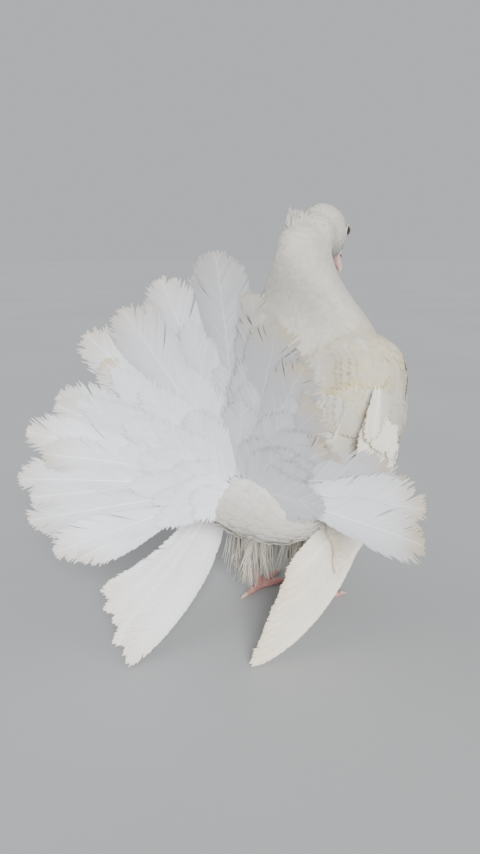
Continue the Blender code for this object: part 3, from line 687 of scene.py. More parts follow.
def add_flight_feather(coat, quill, width, unwrap, draw, *, widest, square, stain, tip_stain, base=0.10,
                       start=0.16, spacing=1.25 * MM, outer_share=0.5, flip=1.0, shaft=0.9 * MM, cup=4.0,
                       barb=0.2 * MM, soft=0.90, fray=0.05, splits=2, tone=(0.0, 0.45), edge=0.22):
    """One flight feather: a tapering shaft, and on each side a row of slanting barbs.

    Each barb is a thin closed blade that narrows from soft to its end, and lies over the next
    like a tile. Where the row is split, the barbs on its two sides part towards the edge.
    The shaft is paler than tone, the range of the feather's greyness, which is random and on the fan
    also painted shade; towards its edge the vane is painted greyer by edge, as shade under the next feather.
    """
    tint_and_shade = draw.uniform(*tone)
    add_shaft(coat, quill, shaft, unwrap, stain, max(0.0, tint_and_shade - 0.35))
    count = max(6, int(quill.length * (1 - start) / spacing))
    places = np.array([0.0, 0.45, soft, 1.0])
    blade = spacing / quill.length * np.array([0.75, 0.80, 0.76, 0.30])
    for side in (-1, 1):
        half_width = width * (outer_share if side * flip < 0 else 1 - outer_share)
        begin = np.linspace(start, SHAFT_END, count) + draw.uniform(-0.15, 0.15, count) / count
        begin = np.clip(begin, 0, 0.99)
        steepness = BARB_STEEPNESS * (1 + 0.5 * begin)
        end = barb_ends(begin, half_width, steepness, quill.length, widest, square, base)
        reach = (end - begin) * quill.length / steepness
        ragged = fray * (1 + 1.6 * np.clip((end - 0.85) / 0.15, 0, 1))
        reach = reach * (1 - ragged * draw.uniform(-0.35, 1, count))
        run = reach * steepness / quill.length
        shift = split_shifts(count, splits, quill.length, draw)
        lay = draw.normal(0, 1, count)[:, None]
        t = begin[:, None] + run[:, None] * places + shift[:, None] * places**1.6
        t = t + places**2 * lay * 0.25 * MM / quill.length
        x = reach[:, None] * places * side
        rows = [
            quill.read(t + offset * blade, x, 0.30 * barb * places * lay + high * barb, cup)
            for offset, high in ((-1.0, 0.22), (1.0, -0.08), (0.0, -0.70))
        ]
        order = np.array(tube_faces(4, 3))
        ends = np.clip((t - 0.80) / 0.20, 0, 1) ** 1.5 * tip_stain + stain * places * 0.5
        local = np.stack([x / width * 0.9, t * 0.9], axis=-1) * PATCH
        # Painted shade: greyer towards the vane's edge, over the feather's tint and shade and a fine grain by
        # barb.
        greys_and_shade = np.clip(tint_and_shade + edge * places**2 + 0.05 * lay, 0, 1)
        coat.add(np.stack(rows, axis=2).reshape(count, -1, 3), order[:, ::-1] if side > 0 else order,
                 *(np.repeat(values, 3, axis=1) for values in (unwrap + local, ends, greys_and_shade)))


# The body's skin


def head_frame():
    """From the skull's own frame to the bird's place."""
    turn = Euler((HEAD_NOD, 0, 0)).to_matrix().to_4x4()
    yaw = Euler((0, 0, HEAD_TURN)).to_matrix().to_4x4()
    return Matrix.Translation(HEAD_AT + BIRD_AT) @ yaw @ turn


def body_rings(grow):
    rows = smooth_rows([(*d, *v, w) for d, v, w in BODY_RINGS], BODY_STEPS)
    rings = []
    for dorsal_y, dorsal_z, ventral_y, ventral_z, half_width in rows:
        centre = at(0, (dorsal_y + ventral_y) / 2, (dorsal_z + ventral_z) / 2)
        up = Vector((0, dorsal_y - ventral_y, dorsal_z - ventral_z)) * MM / 2
        up += up.normalized() * grow
        side = Vector((half_width * MM + grow, 0, 0))
        rings.append(oval(centre, up, side, BODY_SIDES))
    return rings


def skull_rings(grow):
    pose = head_frame()
    rings = []
    for y, z, width, up, down in smooth_rows(SKULL_RINGS, SKULL_STEPS):
        ring = []
        for t in full_turn(SKULL_SIDES):
            wide = (width * MM + grow) * math.sin(t)
            tall = (up if math.cos(t) > 0 else down) * MM + grow
            ring.append(pose @ Vector((wide, y * MM, z * MM + tall * math.cos(t))))
        rings.append(ring)
    return rings


def loft_into(shape, rings):
    """Adds a closed skin through the rings to a bmesh."""
    rows = [[shape.verts.new(p) for p in ring] for ring in rings]
    sides = len(rings[0])
    for low, high in zip(rows, rows[1:]):
        for k in range(sides):
            shape.faces.new((low[k], low[(k + 1) % sides], high[(k + 1) % sides], high[k]))
    for row in (rows[0], rows[-1]):
        middle = shape.verts.new(sum((v.co for v in row), Vector()) / sides)
        for k in range(sides):
            shape.faces.new((row[k], row[(k + 1) % sides], middle))


def leg_centres(sign):
    hip = at(sign * LEG_X, 46, 76)
    ankle = at(sign * LEG_X, *ANKLE)
    foot = at(sign * LEG_X, FOOT_Y, 4.6)
    return hip, ankle, foot


def thigh_rings(sign):
    hip, ankle, _ = leg_centres(sign)
    turns = [Vector((math.cos(t), math.sin(t), 0)) for t in full_turn(20)]
    return [[hip.lerp(ankle, share) + turn * radius * MM for turn in turns] for share, radius in THIGH_FORM]


def arm_rings(sign, strand):
    rows = smooth_rows(strand, 16)
    centres = [at(sign * x, y, z) for x, y, z, _ in rows]
    rings = []
    for i, (centre, row) in enumerate(zip(centres, rows)):
        along = (centres[min(i + 1, 15)] - centres[max(i - 1, 0)]).normalized()
        side = along.cross(Vector((0, 1, 0))).normalized()
        up = side.cross(along)
        rings.append([centre + (side * math.cos(t) + up * math.sin(t)) * row[3] * MM for t in full_turn(24)])
    return rings


def make_skin(look, wings):
    """One smooth skin for the bird, inside the feathers by the coat's depth."""
    shape = bmesh.new()
    loft_into(shape, body_rings(-BODY_COAT))
    loft_into(shape, skull_rings(-SKULL_COAT))
    for sign in (-1, 1):
        loft_into(shape, thigh_rings(sign))
        for strand in ARM_STRANDS:
            loft_into(shape, arm_rings(sign, strand))
    for wing in wings:
        loft_into(shape, wing.flesh_rings())
    for centre, radii in ((VENT_AT, VENT_RADII), (NAPE_AT, NAPE_RADII)):
        place = Matrix.Translation(at(*centre)) @ Matrix.Diagonal((*(r * MM for r in radii), 1))
        bmesh.ops.create_uvsphere(shape, u_segments=24, v_segments=16, radius=1.0, matrix=place)
    bmesh.ops.recalc_face_normals(shape, faces=shape.faces)
    skin = add_object("skin", mesh_of("skin", shape))
    remesh = skin.modifiers.new("one_skin", "REMESH")
    remesh.mode = "VOXEL"
    remesh.voxel_size = SKIN_VOXEL
    soften = skin.modifiers.new("soften", "SMOOTH")
    soften.factor = 0.5
    soften.iterations = SKIN_SOFTENING
    bpy.context.view_layer.update()
    done = bpy.data.meshes.new_from_object(skin.evaluated_get(bpy.context.evaluated_depsgraph_get()))
    skin.modifiers.clear()
    skin.data = done
    done.materials.append(look)
    done.shade_smooth()
    return skin


def in_threes(rows, name, kind):
    """A value of three numbers of each of a mesh's rows."""
    found = np.empty(len(rows) * 3, kind)
    rows.foreach_get(name, found)
    return found.reshape(-1, 3)


class Body:
    """The skin, with nearest and scattered points on it and the lie of the coat all over it."""

    def __init__(self, skin, wings):
        skin.data.calc_loop_triangles()
        self.points = in_threes(skin.data.vertices, "co", float)
        self.triangles = in_threes(skin.data.loop_triangles, "vertices", int)
        self.tree = BVHTree.FromPolygons(self.points.tolist(), self.triangles.tolist())
        self.wings = wings
        rings = np.array([[tuple(p) for p in ring] for ring in body_rings(0.0)])
        self.centres = rings.mean(axis=1)
        self.tangents = unit(-np.gradient(self.centres, axis=0))
        self.bill_base = np.array(head_frame() @ (Vector((0, BILL_BASE_Y + 2, -2.5)) * MM))

    def scatter(self, spacing, tries, draw, keep):
        """Places spread over the skin, at least spacing(points) apart, where keep(points) holds."""
        a, b, c = (self.points[self.triangles[:, k]] for k in range(3))
        cross = np.cross(b - a, c - a)
        areas = np.linalg.norm(cross, axis=1)
        picks = draw.choice(len(areas), tries, p=areas / areas.sum())
        u, v = draw.uniform(0, 1, (2, tries))
        fold = u + v > 1
        u[fold], v[fold] = 1 - u[fold], 1 - v[fold]
        points = a[picks] + (b - a)[picks] * u[:, None] + (c - a)[picks] * v[:, None]
        normals = unit(cross[picks])
        good = keep(points)
        points, normals = points[good], normals[good]
        apart = spacing(points)
        cell = apart.max()
        grid = {}
        taken = []
        rows = points.tolist()
        for i, (x, y, z) in enumerate(rows):
            key = (int(x // cell), int(y // cell), int(z // cell))
            gap = apart[i] ** 2
            near = (
                rows[j]
                for dx in (-1, 0, 1) for dy in (-1, 0, 1) for dz in (-1, 0, 1)
                for j in grid.get((key[0] + dx, key[1] + dy, key[2] + dz), ())
            )
            if all((x - q[0]) ** 2 + (y - q[1]) ** 2 + (z - q[2]) ** 2 > gap for q in near):
                grid.setdefault(key, []).append(i)
                taken.append(i)
        return points[taken], normals[taken]

    def above(self, points, height):
        """The nearest place on the skin to each point, raised by height, with its normal."""
        spots, normals = np.empty_like(points), np.empty_like(points)
        for i, point in enumerate(points):
            spot, normal, _, _ = self.tree.find_nearest(Vector(point))
            spots[i], normals[i] = spot, normal
        return spots + normals * np.asarray(height)[:, None], normals

    def station(self, points):
        """The number of the body's ring that each point belongs to, from rump to throat."""
        away = points[:, None] - self.centres[None]
        score = np.abs(np.sum(away * self.tangents[None], axis=-1)) + 0.18 * np.linalg.norm(away, axis=-1)
        return np.argmin(score, axis=1)

    def lie(self, points, normals):
        """The direction in which a feather points at each place on the skin."""
        trunk = self.tangents[self.station(points)].copy()
        trunk[:, 2] -= 0.25
        from_bill = points - self.bill_base
        far = np.linalg.norm(from_bill, axis=1)
        share = np.clip((far - 16 * MM) / (22 * MM), 0, 1)[:, None]
        found = unit(from_bill) * (1 - share) + unit(trunk) * share
        behind = self.behind(points)[:, None]
        across = (points[:, 0] - BIRD_AT.x - VENT_AT[0] * MM) / (30 * MM)
        upward = np.stack([across, np.full(len(points), 0.5), np.ones(len(points))], axis=-1)
        found = found * (1 - behind) + unit(upward) * behind
        leg = leg_share(points)[:, None]
        found = found * (1 - leg) + np.array((0, 0.15, -1.0)) * leg
        for wing in self.wings:
            on_wing, share = wing.share(points)
            along, back = wing.read(share)[1:3]
            found = found * (1 - on_wing[:, None]) + (along + 0.3 * back) * on_wing[:, None]
        return flat_to(found, normals)

    def behind(self, points):
        """How far each point belongs to the down behind the root of the tail."""
        back = smoothstep(points[:, 1] - BIRD_AT.y, 84 * MM, 104 * MM)
        return back * smoothstep(-points[:, 2], -122 * MM, -112 * MM)

    def unwrap(self, points):
        """A place for each point on the chart: round the body and along it, or along a wing."""
        ring = self.station(points)
        away = points - self.centres[ring]
        turn = np.arctan2(away[:, 0], np.sum(away * np.cross(self.tangents[ring], (1, 0, 0)), axis=-1))
        round_body = 0.03 + 0.44 * (turn / (2 * math.pi) + 0.5)
        places = np.stack([round_body, 0.03 + 0.9 * ring / BODY_STEPS], axis=-1)
        for wing in self.wings:
            on_wing, share = wing.share(points)
            across = WING_CHART[wing.side][1] + 0.05 * np.sin(points[:, 1] * 60)
            chart = np.stack([across, 0.5 + 0.4 * share], axis=-1)
            places = np.where(on_wing[:, None] > 0.5, chart, places)
        return places


# Looks


def make_looks():
    """The feathers, with their two whites, their grey, which also paints shade, and their stain, the skins
    and the floor.
    """
    cream, dirty, olive = (0.66, 0.54, 0.32), (0.56, 0.43, 0.22), (0.55, 0.46, 0.24)
    feathers = {
        "body": ("body_feather", (0.57, 0.553, 0.508), (0.51, 0.49, 0.445), (0.41, 0.39, 0.35), olive, 0.75),
        "vent": ("vent_feather", (0.70, 0.69, 0.665), (0.64, 0.63, 0.60), (0.50, 0.49, 0.46), cream, 0.75),
        # The tail's grey is dark, to paint the shade on the fan.
        "tail": ("tail_feather", (0.91, 0.925, 0.96), (0.86, 0.875, 0.91), (0.41, 0.415, 0.43), dirty),
        "wing_left": ("wing_feather_white", (0.94, 0.95, 0.96), (0.89, 0.90, 0.91), (0.62, 0.63, 0.65),
                      cream),
        "wing_right": ("wing_feather_cream", (0.96, 0.91, 0.79), (0.90, 0.84, 0.71), (0.66, 0.62, 0.54),
                       cream),
    }
    skins = {
        "skin": ("under_down", (0.47, 0.45, 0.40), (0.54, 0.52, 0.46), 90.0, 0.9, 900.0, 0.0002),
        "bill": ("bill_skin", (0.62, 0.38, 0.35), (0.80, 0.60, 0.55), 160.0, 0.42, 500.0, 0.0002),
        "cere": ("cere_skin", (0.70, 0.62, 0.60), (0.86, 0.80, 0.78), 300.0, 0.7, 900.0, 0.0003),
        "lid": ("lid_skin", (0.52, 0.44, 0.43), (0.72, 0.64, 0.62), 400.0, 0.6, 1500.0, 0.0003),
        "claw": ("claw_horn", (0.34, 0.24, 0.20), (0.66, 0.54, 0.46), 120.0, 0.32, 700.0, 0.0001),
        # Painted shadow: near black, for the shade inside each nostril.
        "nostril": ("nostril_dark", (0.02, 0.01, 0.01), (0.06, 0.03, 0.03), 300.0, 0.8, 900.0, 0.0001),
    }
    return {
        **{key: feather_material(*row) for key, row in feathers.items()},
        **{key: skin_material(*row) for key, row in skins.items()},
        "leg": scale_material("leg_scale", (0.42, 0.18, 0.16), (0.70, 0.40, 0.36)),
        "eye": eye_material("eye_wet"),
        "floor": floor_material("studio_floor"),
    }


# Contour feathers


def in_skull(points):
    """The points in the skull's own frame."""
    pose = np.array(head_frame().inverted())
    return points @ pose[:3, :3].T + pose[:3, 3]


def leg_share(points):
    """How far each point belongs to a leg, 0 to 1."""
    return 1 - smoothstep(points[:, 2], 54 * MM, 66 * MM)


def tracts(points):
    """How far each point belongs to the vent, a leg, the neck, the head and the face, 0 to 1."""
    local = in_skull(points)
    from_head = np.linalg.norm(local - np.array((0, 2, 0)) * MM, axis=1)
    head = 1 - smoothstep(from_head, 17 * MM, 27 * MM)
    face = smoothstep(-local[:, 1], 2 * MM, 17 * MM) * head
    neck = smoothstep(points[:, 2], 165 * MM, 215 * MM) * (1 - head)
    leg = leg_share(points)
    vent = smoothstep(points[:, 1] - BIRD_AT.y, 60 * MM, 100 * MM) * (1 - leg)
    return vent, leg, neck, head, face


def blend_of(sizes, shares):
    """A size for each point: the first, drawn towards each other size by its share."""
    size = np.full(len(shares[0]), float(sizes[0]))
    for share, value in zip(shares, sizes[1:]):
        size = size * (1 - share) + value * share
    return size * MM


def body_spacing(points):
    return blend_of(COAT_SPACING, tracts(points))


def body_keep(points):
    """Leaves the eyes, the bill's root and the ends of the shanks bare."""
    local = in_skull(points)
    bare = points[:, 2] < 31 * MM
    for s in (-1, 1):
        eye = np.array((s * EYE_AT.x, EYE_AT.y, EYE_AT.z))
        bare |= np.linalg.norm(local - eye, axis=1) < EYE_RADIUS + 0.9 * MM
    bill = np.abs(local - np.array((0, -20.5, -3.0)) * MM) / (np.array((4.2, 3.2, 5.2)) * MM)
    bare |= np.sum(bill**2, axis=1) < 1
    return ~bare


def make_body_feathers(body, looks):
    draw = np.random.default_rng(5)
    roots, normals = body.scatter(body_spacing, COAT_TRIES, draw, body_keep)
    count = len(roots)
    shares = tracts(roots)
    vent, leg, neck, head, _ = shares
    lengths = blend_of(COAT_LENGTH, shares) * draw.uniform(0.88, 1.12, count)
    heights = blend_of(COAT_HEIGHT, shares) * draw.uniform(0.75, 1.2, count)
    lie = turned(body.lie(roots, normals), normals, draw.normal(0, 0.07, count))
    spot = roots - np.array(BIRD_AT)
    part = np.where(roots[:, 1] < BIRD_AT.y + 20 * MM, 1, 2)
    part = np.where(vent + leg > 0.5, 3, part)
    part = np.where(head + 0.6 * neck > 0.5, 0, part)
    for i, wing in enumerate(body.wings):
        part = np.where(wing.share(roots)[0] > 0.5, 4 + i, part)
    shoulder = np.exp(-(((spot[:, 2] / MM - 182) / 26) ** 2) - ((np.abs(spot[:, 0]) / MM - 48) / 20) ** 2)
    shoulder *= smoothstep(spot[:, 1], -5 * MM, 25 * MM)
    below = smoothstep(-spot[:, 2], -92 * MM, -66 * MM) * vent
    trunk = (1 - head) * (1 - neck) * (1 - vent)
    stain = 0.08 + 0.20 * trunk + leg * 0.3 + 1.3 * shoulder + 0.3 * below + draw.normal(0, 0.05, count)
    feathers = {
        "roots": roots, "normals": normals, "lie": lie, "lengths": lengths, "heights": heights,
        "widths": blend_of(COAT_WIDTH, shares), "thick": blend_of(COAT_THICKNESS, shares),
        "stain": np.clip(stain, 0, 1), "unwrap": body.unwrap(roots), "loose": 0.2 * body.behind(roots),
    }
    for i, name in enumerate(COAT_PIECES):
        coat = Coat(name, looks["vent" if name == "coat_vent" else "body"])
        lay_feathers(coat, body, draw, **{key: rows[part == i] for key, rows in feathers.items()})
        coat.finish("feather")


def lay_feathers(coat, body, draw, roots, normals, lie, lengths, widths, heights, thick, stain, unwrap,
                 loose):
    """One small feather from each root along its lie, following the skin as far as loose lets it."""
    starts = roots - normals * (0.25 * heights + 0.1 * MM)[:, None]
    middles, _ = body.above(roots + lie * lengths[:, None] * 0.5, heights * 0.7)
    free = roots + lie * lengths[:, None]
    tips, ends = body.above(free, heights)
    tips += (free + normals * heights[:, None] - tips) * loose[:, None]
    kind = draw.integers(0, VANE_KINDS, len(roots))
    for k in range(VANE_KINDS):
        pick = kind == k
        if pick.any():
            rows = (starts, middles, tips, normals, ends, widths, thick, unwrap, stain)
            template = vane_template(BODY_OUTLINE, VANE_FINGERS, draw)
            place_vanes(coat, template, *(row[pick] for row in rows), draw)


def turned(rows, normals, angles):
    """Vectors turned about their normals by the angles."""
    return unit(rows * np.cos(angles)[:, None] + np.cross(normals, rows) * np.sin(angles)[:, None])


def make_shoulders(body, looks):
    """Rows of feathers from the shoulders, over the roots of the wings."""
    for side, sign in SIDES:
        draw = np.random.default_rng(41 + sign)
        coat = Coat(f"shoulder_{side}", looks["body"])
        for root_in, root_out, tip_in, tip_out, count, width, low, high, stain in SHOULDER_TIERS:
            share = np.linspace(0, 1, count)[:, None]
            roots = np.array(root_in) * (1 - share) + np.array(root_out) * share
            tips = np.array(tip_in) * (1 - share) + np.array(tip_out) * share
            spots = np.stack([roots, (roots + tips) / 2, tips], axis=1) + draw.normal(0, 0.7, (count, 3, 3))
            spots = spots * np.array((sign, 1, 1)) * MM + np.array(BIRD_AT)
            lifts = np.tile(np.array((low - 1.5, (low + high) * 0.5, high)) * MM, count)
            spots, faces = (rows.reshape(count, 3, 3) for rows in body.above(spots.reshape(-1, 3), lifts))
            spots, faces = evened(spots), unit(evened(faces))
            patches = body.unwrap(spots[:, 0])
            for path, face, patch in zip(spots, faces, patches):
                wide = width * draw.uniform(0.95, 1.1) * MM
                add_flight_feather(coat, arched_quill(path, face), wide, patch, draw, stain=1.5 * stain,
                                   tip_stain=stain, **SHOULDER_FORM)
        coat.finish("feather")


def evened(rows, times=3):
    """Rows of values with each drawn towards its neighbours."""
    for _ in range(times):
        rows = np.concatenate([rows[:1], (rows[:-2] + 2 * rows[1:-1] + rows[2:]) / 4, rows[-1:]])
    return rows


def arched_quill(spots, faces):
    """A path from the first through the second to the third spot."""
    t = np.linspace(0, 1, 8)[:, None]
    path = arc(spots[0], 2 * spots[1] - (spots[0] + spots[2]) / 2, spots[2], t)
    return Quill(path, faces[0] * (1 - t) + faces[2] * t)


# Crest


def make_crest(looks):
    """Upright feathers at the top of the nape, bent a little backwards."""
    draw = np.random.default_rng(3)
    coat = Coat("coat_crest", looks["body"])
    for _ in range(CREST_COUNT):
        across = draw.uniform(-1, 1)
        row = draw.uniform(-1, 1)
        root = CREST_AT + BIRD_AT + Vector((7 * across, 5 * row - 1 - 3 * across**2, -4 * row - 6)) * MM
        along = Vector((0.06 * across + draw.normal(0, 0.05), -0.06 + 0.12 * row + draw.normal(0, 0.05), 1.0))
        length = (16 + row + 4 * across) * draw.uniform(0.84, 1.06) * MM
        quill = bent_quill(root, along, Vector((0.3 * across, 1.0, -0.1)), length, math.radians(-12), 5)
        width = draw.uniform(3.8, 5.2) * MM
        patch = CREST_CHART + 0.03 * draw.uniform(-1, 1, 2)
        add_flight_feather(coat, quill, width, patch, draw, **CREST_FORM)
    coat.finish("feather", "neck")


def bent_quill(root, along, face, length, curl, steps, sweep=0.0):
    """A feather's path from its root, bent by curl off its face and by sweep to one side."""
    along = along.normalized()
    face = (face - along * face.dot(along)).normalized()
    spot = root.copy()
    spots, faces = [spot.copy()], [face.copy()]
    for _ in range(steps):
        old = along
        turn = Matrix.Rotation(sweep / steps, 3, face) @ Matrix.Rotation(curl / steps, 3, along.cross(face))
        along, face = (turn @ along).normalized(), (turn @ face).normalized()
        spot = spot + (old + along).normalized() * length / steps
        spots.append(spot.copy())
        faces.append(face.copy())
    return Quill(spots, faces)


# Tail


def tail_reach(degrees):
    return between(TAIL_FORM, degrees, 1) * MM


def tail_direction(angle):
    middle = Vector((0, math.sin(TAIL_LEAN_BACK), math.cos(TAIL_LEAN_BACK)))
    swing = math.radians(between(TAIL_FORM, math.degrees(angle), 2))
    lateral = Vector((math.copysign(math.cos(swing), angle), math.sin(swing), 0))
    return (middle * math.cos(angle) + lateral * abs(math.sin(angle))).normalized()


def tail_normal(angle):
    step = math.radians(6)
    across = tail_direction(angle + step) - tail_direction(angle - step)
    found = tail_direction(angle).cross(across).normalized()
    return found if found.y > 0 else -found


def tail_quill(angle, lift, tilt, length, outer, base, curl, sweep):
    """The path of a feather of the fan, lifted off the fan and tilted away from it."""
    along, back = tail_direction(angle), tail_normal(angle)
    edge = (tail_direction(angle + 0.05) - tail_direction(angle - 0.05)).normalized()
    edge *= math.copysign(1.0, angle)
    face = (back * outer + edge * math.tan(TAIL_SHINGLE)).normalized()
    start = TAIL_ROOT + BIRD_AT + back * outer * lift + along * base
    return bent_quill(start, along + back * outer * math.tan(tilt), face, length, curl, 9, sweep)


def fan_patch(angle, tier):
    """The place of a fan feather's root on the chart."""
    return np.array((FAN_CHART[0] + 0.20 * (math.degrees(angle) + 160) / 320, FAN_CHART[1] + 0.05 * tier))


def make_tail(looks):
    draw = np.random.default_rng(11)
    coat = Coat("tail_fan", looks["tail"])
    for lobe in TAIL_LOBES:
        for offset, lift, short, broad in TAIL_PAIR:
            degrees = lobe + offset + draw.uniform(-0.6, 0.6)
            angle = math.radians(degrees)
            # Painted shade: a feather is painted greyer where the fan lies in shade; the dirt at its end is
            # its own.
            shade, dirt = between(TAIL_PAINTED_SHADE_AND_DIRT, degrees, 1), between(TAIL_PAINTED_SHADE_AND_DIRT, degrees, 2)
            reach = tail_reach(degrees) * short * draw.uniform(0.96, 1.025)
            curl, sweep = math.radians(draw.uniform(0, 12)), math.radians(draw.normal(0, 2))
            quill = tail_quill(angle, lift * MM, 0.0, reach - TAIL_BASE, 1.0, TAIL_BASE, curl, sweep)
            width = TAIL_WIDTH * broad * draw.uniform(0.96, 1.05)
            add_flight_feather(coat, quill, width, fan_patch(angle, 0), draw, fray=0.05 + 0.07 * dirt,
                               tip_stain=dirt * draw.uniform(0.7, 1.0), tone=(shade - 0.12, shade + 0.14),
                               **FAN_FORM)
    coat.finish("flight", "tail")
    make_tail_coverts(looks, draw)


def make_tail_coverts(looks, draw):
    """Shorter and softer feathers over the roots of the fan, behind it and in front of it."""
    coat = Coat("tail_coverts", looks["tail"])
    for tier, (count, low, high, length, width, lift, tilt, outer, loose) in enumerate(TAIL_TIERS):
        for i in range(count):
            degrees = low + (high - low) * (i + draw.uniform(-0.2, 0.2)) / (count - 1)
            short = min(1.0, tail_reach(degrees) / (118 * MM)) * np.interp(degrees, (50, 90), (1.0, 0.55))
            # The coverts take four fifths of the fan's painted shade, read no further round than -62 degrees.
            shade = 0.8 * between(TAIL_PAINTED_SHADE_AND_DIRT, max(degrees, -62), 1)
            angle = math.radians(degrees)
            lean = math.radians(tilt + draw.normal(0, 0.4))
            reach = length * MM * draw.uniform(0.86, 1.10) * short
            curl, sweep = math.radians(draw.uniform(2, 6)), math.radians(draw.normal(0, 3))
            quill = tail_quill(angle, lift * MM, lean, reach, outer, 4 * MM, curl, sweep)
            wide = width * MM * draw.uniform(0.9, 1.1) * short**0.5
            add_flight_feather(coat, quill, wide, fan_patch(angle, tier + 1), draw, fray=0.06 + 0.6 * loose,
                               stain=0.1 * loose, tip_stain=0.3 * loose, tone=(shade, shade + 0.1),
                               **FAN_COVERT_FORM)
    coat.finish("flight", "tail")


# Wings


def bezier(points, t):
    a, b, c, d = (Vector(p) * MM for p in points)
    s = 1 - t
    return a * s**3 + b * 3 * s * s * t + c * 3 * s * t * t + d * t**3 + BIRD_AT


def bezier_slope(points, t):
    a, b, c, d = (Vector(p) * MM for p in points)
    s = 1 - t
    return ((b - a) * s * s + (c - b) * 2 * s * t + (d - c) * t * t).normalized()


def wing_axes(edge, trailing, t):
    """Along the wing, towards its trailing edge, and out through its upper side."""
    along = bezier_slope(edge, t)
    back = trailing[0].lerp(trailing[1], t)
    back = (back - along * back.dot(along)).normalized()
    return along, back, along.cross(back) * math.copysign(1.0, edge[0][0])


class Wing:
    """One wing's curved surface, read along its leading edge and back from it."""

    def __init__(self, side, edge, trailing):
        self.side, self.sign = side, 1.0 if side == "left" else -1.0
        self.steps = np.linspace(0, 1.08, 500)
        rows = [(bezier(edge, t), *wing_axes(edge, trailing, t)) for t in self.steps]
        self.table = np.array([[tuple(v) for v in row] for row in rows])
        flat = np.zeros_like(WING_FLESH_STEPS)
        self.middles = self.place(WING_FLESH_STEPS, flat + WING_FLESH_BACK, flat)

    def read(self, t):
        """The place on the leading edge, and the ways along, back and out, at each t."""
        return [read_rows(t, self.steps, self.table[:, i]) for i in range(4)]

    def place(self, t, behind, rise):
        spot, _, back, out = self.read(t)
        return spot + back * behind[..., None] + out * rise[..., None]

    def share(self, points):
        """How far each point belongs to the wing (0 to 1), and its t along the leading edge."""
        away = np.linalg.norm(points[:, None] - self.middles[None], axis=2)
        nearest = np.argmin(away, axis=1)
        near = away[np.arange(len(points)), nearest]
        side = smoothstep(self.sign * (points[:, 0] - BIRD_AT.x), 44 * MM, 56 * MM)
        low = smoothstep(-points[:, 2], -176 * MM, -150 * MM)
        return (1 - smoothstep(near, 24 * MM, 32 * MM)) * side * low, WING_FLESH_STEPS[nearest]

    def flesh_rings(self):
        """The flesh of the wing, from the wrist to where only feathers go on."""
        rings = []
        for i, bulk in enumerate(WING_BULK):
            share = i / (len(WING_BULK) - 1)
            spot, _, back, out = (Vector(v) for v in self.read(WING_FLESH_END * share))
            centre = spot + back * (18 + 11 * share) * MM
            wide, deep = 22 * MM * bulk, (8.0 - 4.5 * share) * MM * bulk
            rings.append(oval(centre, back * wide, out * deep, 28))
        rows = smooth_rows([[c for p in ring for c in p] for ring in rings], 36)
        return [[Vector(row[k : k + 3]) for k in range(0, len(row), 3)] for row in rows]


class WingPath:
    """The path of one feather over the surface of a wing, read as a Quill is."""

    def __init__(self, wing, low, high, near, far, lift, end_lift, wave=0.0, flare=1.0):
        self.wing, self.flare = wing, flare
        self.form = np.array((near, far, lift, end_lift, wave)) * MM
        self.places = np.linspace(low, high, 40)
        self.length, self.shares = measured(wing.read(self.places)[0])

    def read(self, share, across, lift, cup):
        share, across = np.asarray(share, float), np.asarray(across, float)
        inside = np.clip(share, 0, 1)
        near, far, low, high, wave = self.form
        beyond = (share - inside) * (self.places[-1] - self.places[0])
        t = np.interp(inside, self.shares, self.places) + beyond
        behind = near + (far - near) * np.maximum(share, 0) ** self.flare
        behind += wave * np.sin(math.pi * inside) - self.wing.sign * across
        return self.wing.place(t, behind, low + (high - low) * share + lift - cup * across**2)


def make_wing(wing, look, coverts, start, end, taper, flare):
    draw = np.random.default_rng(21 if wing.side == "left" else 22)
    coat = Coat(f"wing_{wing.side}_flight", look)
    hanging = flare > 1
    for i in range(PRIMARY_COUNT):
        inner = i / (PRIMARY_COUNT - 1)
        ragged = 0.012 + (0.04 * min(inner, 0.6) if hanging else 0)
        high = 0.995 - taper * inner**1.3 - draw.uniform(0, ragged)
        path = WingPath(wing, 0.22 + 0.05 * inner, high, 9 + (start - 9) * inner, 3 + (end - 3) * inner,
                        0.6 * i - 3.0, 0.5 * i - 2.4, draw.normal(0, 0.6), flare)
        add_wing_feather(coat, wing, path, PRIMARY_WIDTH, (0.01 * i, 0.0), draw, PRIMARY_FORM)
    far = end - 23 if hanging else end
    for i in range(SECONDARY_COUNT):
        inner = i / (SECONDARY_COUNT - 1)
        high = 0.66 - 0.10 * inner - draw.uniform(0, 0.015)
        path = WingPath(wing, 0.24 + 0.03 * inner, high, 14 + 26 * inner, 15 + far * inner, 3.4 + 0.4 * i,
                        2.8 + 0.4 * i, draw.normal(0, 0.6))
        add_wing_feather(coat, wing, path, SECONDARY_WIDTH, (0.01 * i, 0.05), draw, SECONDARY_FORM)
    coat.finish("flight", f"wing_{wing.side}")
    make_wing_coverts(wing, coverts, draw)


def add_wing_feather(coat, wing, path, width, patch, draw, form, **more):
    """One feather of a wing, with its narrow vane to the leading edge."""
    corner = np.array((WING_CHART[wing.side][0], 0.06))
    add_flight_feather(coat, path, width * MM, corner + np.array(patch), draw, flip=-wing.sign, **form,
                       **more)


